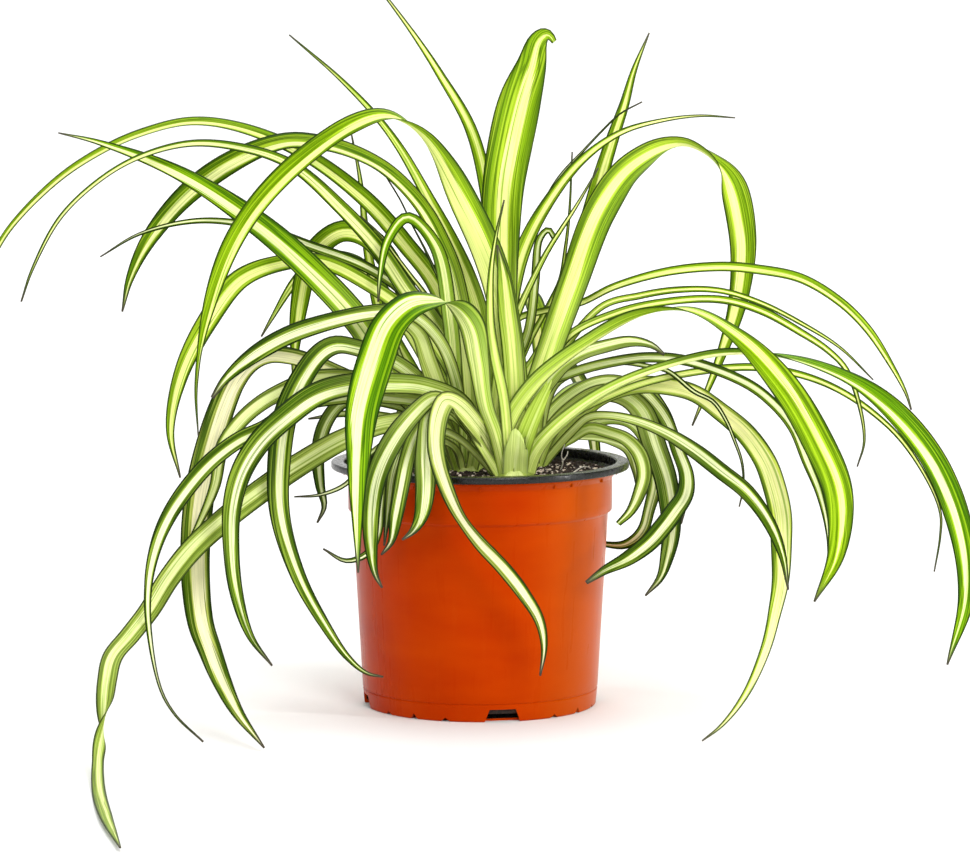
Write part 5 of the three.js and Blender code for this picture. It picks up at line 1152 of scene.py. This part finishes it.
def make_rosette(name, chance, settings):
    """All the blades of one crown, and the crown itself, as one mesh."""
    x, y, radius, leaves = ROSETTES[name]
    tones = sorted({leaf["tone"] for leaf in leaves} | {"pale"})
    pieces = [(leaf["tone"], *leaf_blade(leaf, (x, y, radius), chance, settings)) for leaf in leaves]
    pieces.append(("pale", *crown_stem(x, y, radius)))
    faces, slots, start = [], [], 0
    for tone, vertices, own_faces, _ in pieces:
        faces += [tuple(start + k for k in face) for face in own_faces]
        slots += [tones.index(tone)] * len(own_faces)
        start += len(vertices)
    mesh = new_mesh(name + "_leaves", np.vstack([piece[1] for piece in pieces]) * MM, faces)
    mesh.polygons.foreach_set("material_index", slots)
    for tone in tones:
        found = bpy.data.materials.get("leaf_" + tone)
        mesh.materials.append(found or leaf_material(tone))
    values = {key: np.concatenate([piece[3][key] for piece in pieces]) for key in pieces[0][3]}
    for key in ("band", "lean", "bare", "age", "under", "rim_mm"):
        mesh.attributes.new(key, "FLOAT", "POINT").data.foreach_set("value", values[key].astype(np.float32))
    size = np.stack([values["mm_x"], values["mm_y"], values["mm_z"]], axis=1).astype(np.float32)
    mesh.attributes.new("leaf_mm", "FLOAT_VECTOR", "POINT").data.foreach_set("vector", size.ravel())
    corner = np.empty(len(mesh.loops), int)
    mesh.loops.foreach_get("vertex_index", corner)
    uv = np.stack([values["u"][corner], values["v"][corner]], axis=1).astype(np.float32)
    mesh.uv_layers.new(name="blade").data.foreach_set("uv", uv.ravel())
    mesh.update()
    return new_object(name + "_leaves", mesh)


# The studio

def floor_material(colour):
    """Matt seamless paper, with the faint tooth of its surface."""
    material, tree = new_material("seamless_paper")
    place = node(tree, "ShaderNodeTexCoord").outputs["Object"]
    tooth = node(tree, "ShaderNodeTexNoise", {"Vector": place, "Scale": 1 / (1.11 * MM), "Detail": 2.0})
    bump = node(tree, "ShaderNodeBump", {"Height": tooth.outputs["Fac"], "Strength": 0.05,
                                         "Distance": 0.1 * MM})
    shader = node(tree, "ShaderNodeBsdfPrincipled", {
        "Base Color": (*colour, 1.0), "Roughness": 0.9, "Normal": bump.outputs["Normal"]})
    finish_material(tree, shader)
    return material


def make_floor(colour):
    """A paper sweep: a round floor that curves up into a wall all round the plant."""
    profile = [(FLOOR_RADIUS + SWEEP_RADIUS, WALL_TOP)]
    for i in range(SWEEP_STEPS, 0, -1):
        a = math.radians(90 * i / SWEEP_STEPS)
        profile.append((FLOOR_RADIUS + SWEEP_RADIUS * math.sin(a), SWEEP_RADIUS * (1 - math.cos(a))))
    profile += [(FLOOR_RADIUS, 0.0), (FLOOR_RADIUS / 2, 0.0), (0.0, 0.0)]
    mesh = new_mesh("paper_sweep", *turned(profile, SWEEP_SIDES))
    mesh.materials.append(floor_material(colour))
    return new_object("paper_sweep", mesh)


def add_light(name, spot, aim, size, power, colour):
    """A soft box that stands at a spot and aims at another."""
    lamp = bpy.data.lights.new(name, "AREA")
    lamp.shape = "RECTANGLE"
    lamp.size, lamp.size_y = size
    lamp.energy = power
    lamp.color = colour
    thing = new_object(name, lamp)
    thing.location = spot
    thing.rotation_euler = (Vector(aim) - Vector(spot)).to_track_quat("-Z", "Y").to_euler()


def add_camera():
    """The camera that was fitted to the photograph."""
    camera = bpy.data.cameras.new("camera")
    camera.lens = LENS
    camera.sensor_width = SENSOR_WIDTH
    camera.sensor_fit = "HORIZONTAL"
    camera.clip_start = 0.05
    camera.clip_end = 50.0
    thing = new_object("camera", camera)
    thing.location = EYE * MM
    thing.rotation_euler = (math.pi / 2 - LOOK_DOWN, 0, 0)
    bpy.context.scene.camera = thing


# Settings, operators and panel

class PLANT_PG_pot(bpy.types.PropertyGroup):
    sides: IntProperty(name="Sides", description="How many flats the pot's round is made of", default=192,
                       min=48)


class PLANT_PG_soil(bpy.types.PropertyGroup):
    density: FloatProperty(name="Crumbs", description="Crumbs on each square metre of soil", default=150000.0)
    chip_density: FloatProperty(name="Chips", description="Pale chips on each square metre of soil",
                                default=52000.0)
    crumb_size: FloatProperty(name="Crumb size", description="Size of the largest crumbs", default=0.0026,
                              unit="LENGTH")
    seed: IntProperty(name="Seed", description="Which scatter of crumbs and chips", default=4)


class PLANT_PG_leaves(bpy.types.PropertyGroup):
    station_spacing: FloatProperty(name="Spacing", description="Millimetres between stations along a blade",
                                   default=2.6, min=1.0)
    fold: FloatProperty(name="Fold", description="How deep the channel along a blade is", default=1.0,
                        min=0.0)
    seed: IntProperty(name="Seed", description="Which set of small sways and ripples", default=11)


class PLANT_PG_studio(bpy.types.PropertyGroup):
    floor_colour: FloatVectorProperty(name="Paper", description="Colour of the paper sweep", subtype="COLOR",
                                      default=(0.86, 0.86, 0.85), min=0.0, max=1.0)
    light: FloatProperty(name="Light", description="Brightness of the soft boxes", default=1.0, min=0.0)


class PLANT_OT_pot(bpy.types.Operator):
    """Builds the nursery pot and the small ribs under its lip"""
    bl_idname = "plant.pot"
    bl_label = "Pot"

    def execute(self, context):
        shell = make_pot(context.scene.plant_pot.sides)
        ribs = make_ribs()
        seat(shell, "pot", "pot")
        seat(ribs, "pot")
        return {"FINISHED"}


class PLANT_OT_soil(bpy.types.Operator):
    """Builds the soil and strews crumbs, chips and rootlets over it"""
    bl_idname = "plant.soil"
    bl_label = "Soil"

    def execute(self, context):
        settings = context.scene.plant_soil
        seat(make_soil(), "soil", "soil")
        group, sockets = strewn_tree("strewn_lumps")
        peat = crumb_material("peat_crumb", "#140C07", "#3E2A1D", 0.9)
        chip = crumb_material("bark_chip", "#C0A690", "#FFF4E6", 0.9)
        crumbs = strew("soil_crumbs", group, sockets, Density=settings.density, Smallest=SMALLEST_CRUMB * MM,
                       Largest=settings.crumb_size, Flatness=0.7, Seed=settings.seed, Finish=peat)
        chips = strew("bark_chips", group, sockets, Density=settings.chip_density,
                      Smallest=SMALLEST_CHIP * MM, Largest=LARGEST_CHIP * MM, Flatness=0.5,
                      Seed=settings.seed + 1, Finish=chip)
        for piece in (crumbs, chips, make_rootlets()):
            seat(piece, "soil")
        return {"FINISHED"}


class PLANT_OT_leaves(bpy.types.Operator):
    """Builds the four rosettes of leaves"""
    bl_idname = "plant.leaves"
    bl_label = "Leaves"

    def execute(self, context):
        settings = context.scene.plant_leaves
        chance = random.Random(settings.seed)
        for name in ROSETTES:
            seat(make_rosette(name, chance, settings), "leaf", name)
        return {"FINISHED"}


class PLANT_OT_studio(bpy.types.Operator):
    """Sets up the paper sweep, the soft boxes and the camera"""
    bl_idname = "plant.studio"
    bl_label = "Studio"

    def execute(self, context):
        scene = context.scene
        settings = scene.plant_studio
        make_floor(tuple(settings.floor_colour))
        for name, (spot, aim, size, power, colour) in SOFT_BOXES.items():
            add_light(name, spot, aim, size, power * settings.light, colour)
        world = bpy.data.worlds.new("studio")
        world.use_nodes = True
        background = world.node_tree.nodes["Background"]
        background.inputs["Color"].default_value = (*WHITE, 1.0)
        background.inputs["Strength"].default_value = WORLD_LIGHT
        scene.world = world
        scene.view_settings.view_transform = "Standard"
        add_camera()
        return {"FINISHED"}


class PLANT_PT_panel(bpy.types.Panel):
    """Lists the plant's settings and the operators that build it"""
    bl_label = "Potted Spider Plant"
    bl_idname = "PLANT_PT_panel"
    bl_space_type = "VIEW_3D"
    bl_region_type = "UI"
    bl_category = "Plant"

    def draw(self, context):
        for key, operator in (("plant_pot", "plant.pot"), ("plant_soil", "plant.soil"),
                              ("plant_leaves", "plant.leaves"), ("plant_studio", "plant.studio")):
            box = self.layout.box()
            settings = getattr(context.scene, key)
            for name in settings.bl_rna.properties.keys():
                if name not in ("rna_type", "name"):
                    box.prop(settings, name)
            box.operator(operator)


SETTINGS = {"plant_pot": PLANT_PG_pot, "plant_soil": PLANT_PG_soil, "plant_leaves": PLANT_PG_leaves,
            "plant_studio": PLANT_PG_studio}
CLASSES = (*SETTINGS.values(), PLANT_OT_pot, PLANT_OT_soil, PLANT_OT_leaves, PLANT_OT_studio, PLANT_PT_panel)


def register():
    for kind in CLASSES:
        bpy.utils.register_class(kind)
    for key, kind in SETTINGS.items():
        setattr(bpy.types.Scene, key, PointerProperty(type=kind))


def unregister():
    for key in SETTINGS:
        delattr(bpy.types.Scene, key)
    for kind in reversed(CLASSES):
        bpy.utils.unregister_class(kind)


def main():
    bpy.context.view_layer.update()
    register()
    bpy.ops.plant.pot()
    bpy.ops.plant.soil()
    bpy.ops.plant.leaves()
    bpy.ops.plant.studio()


if __name__ == "__main__":
    main()
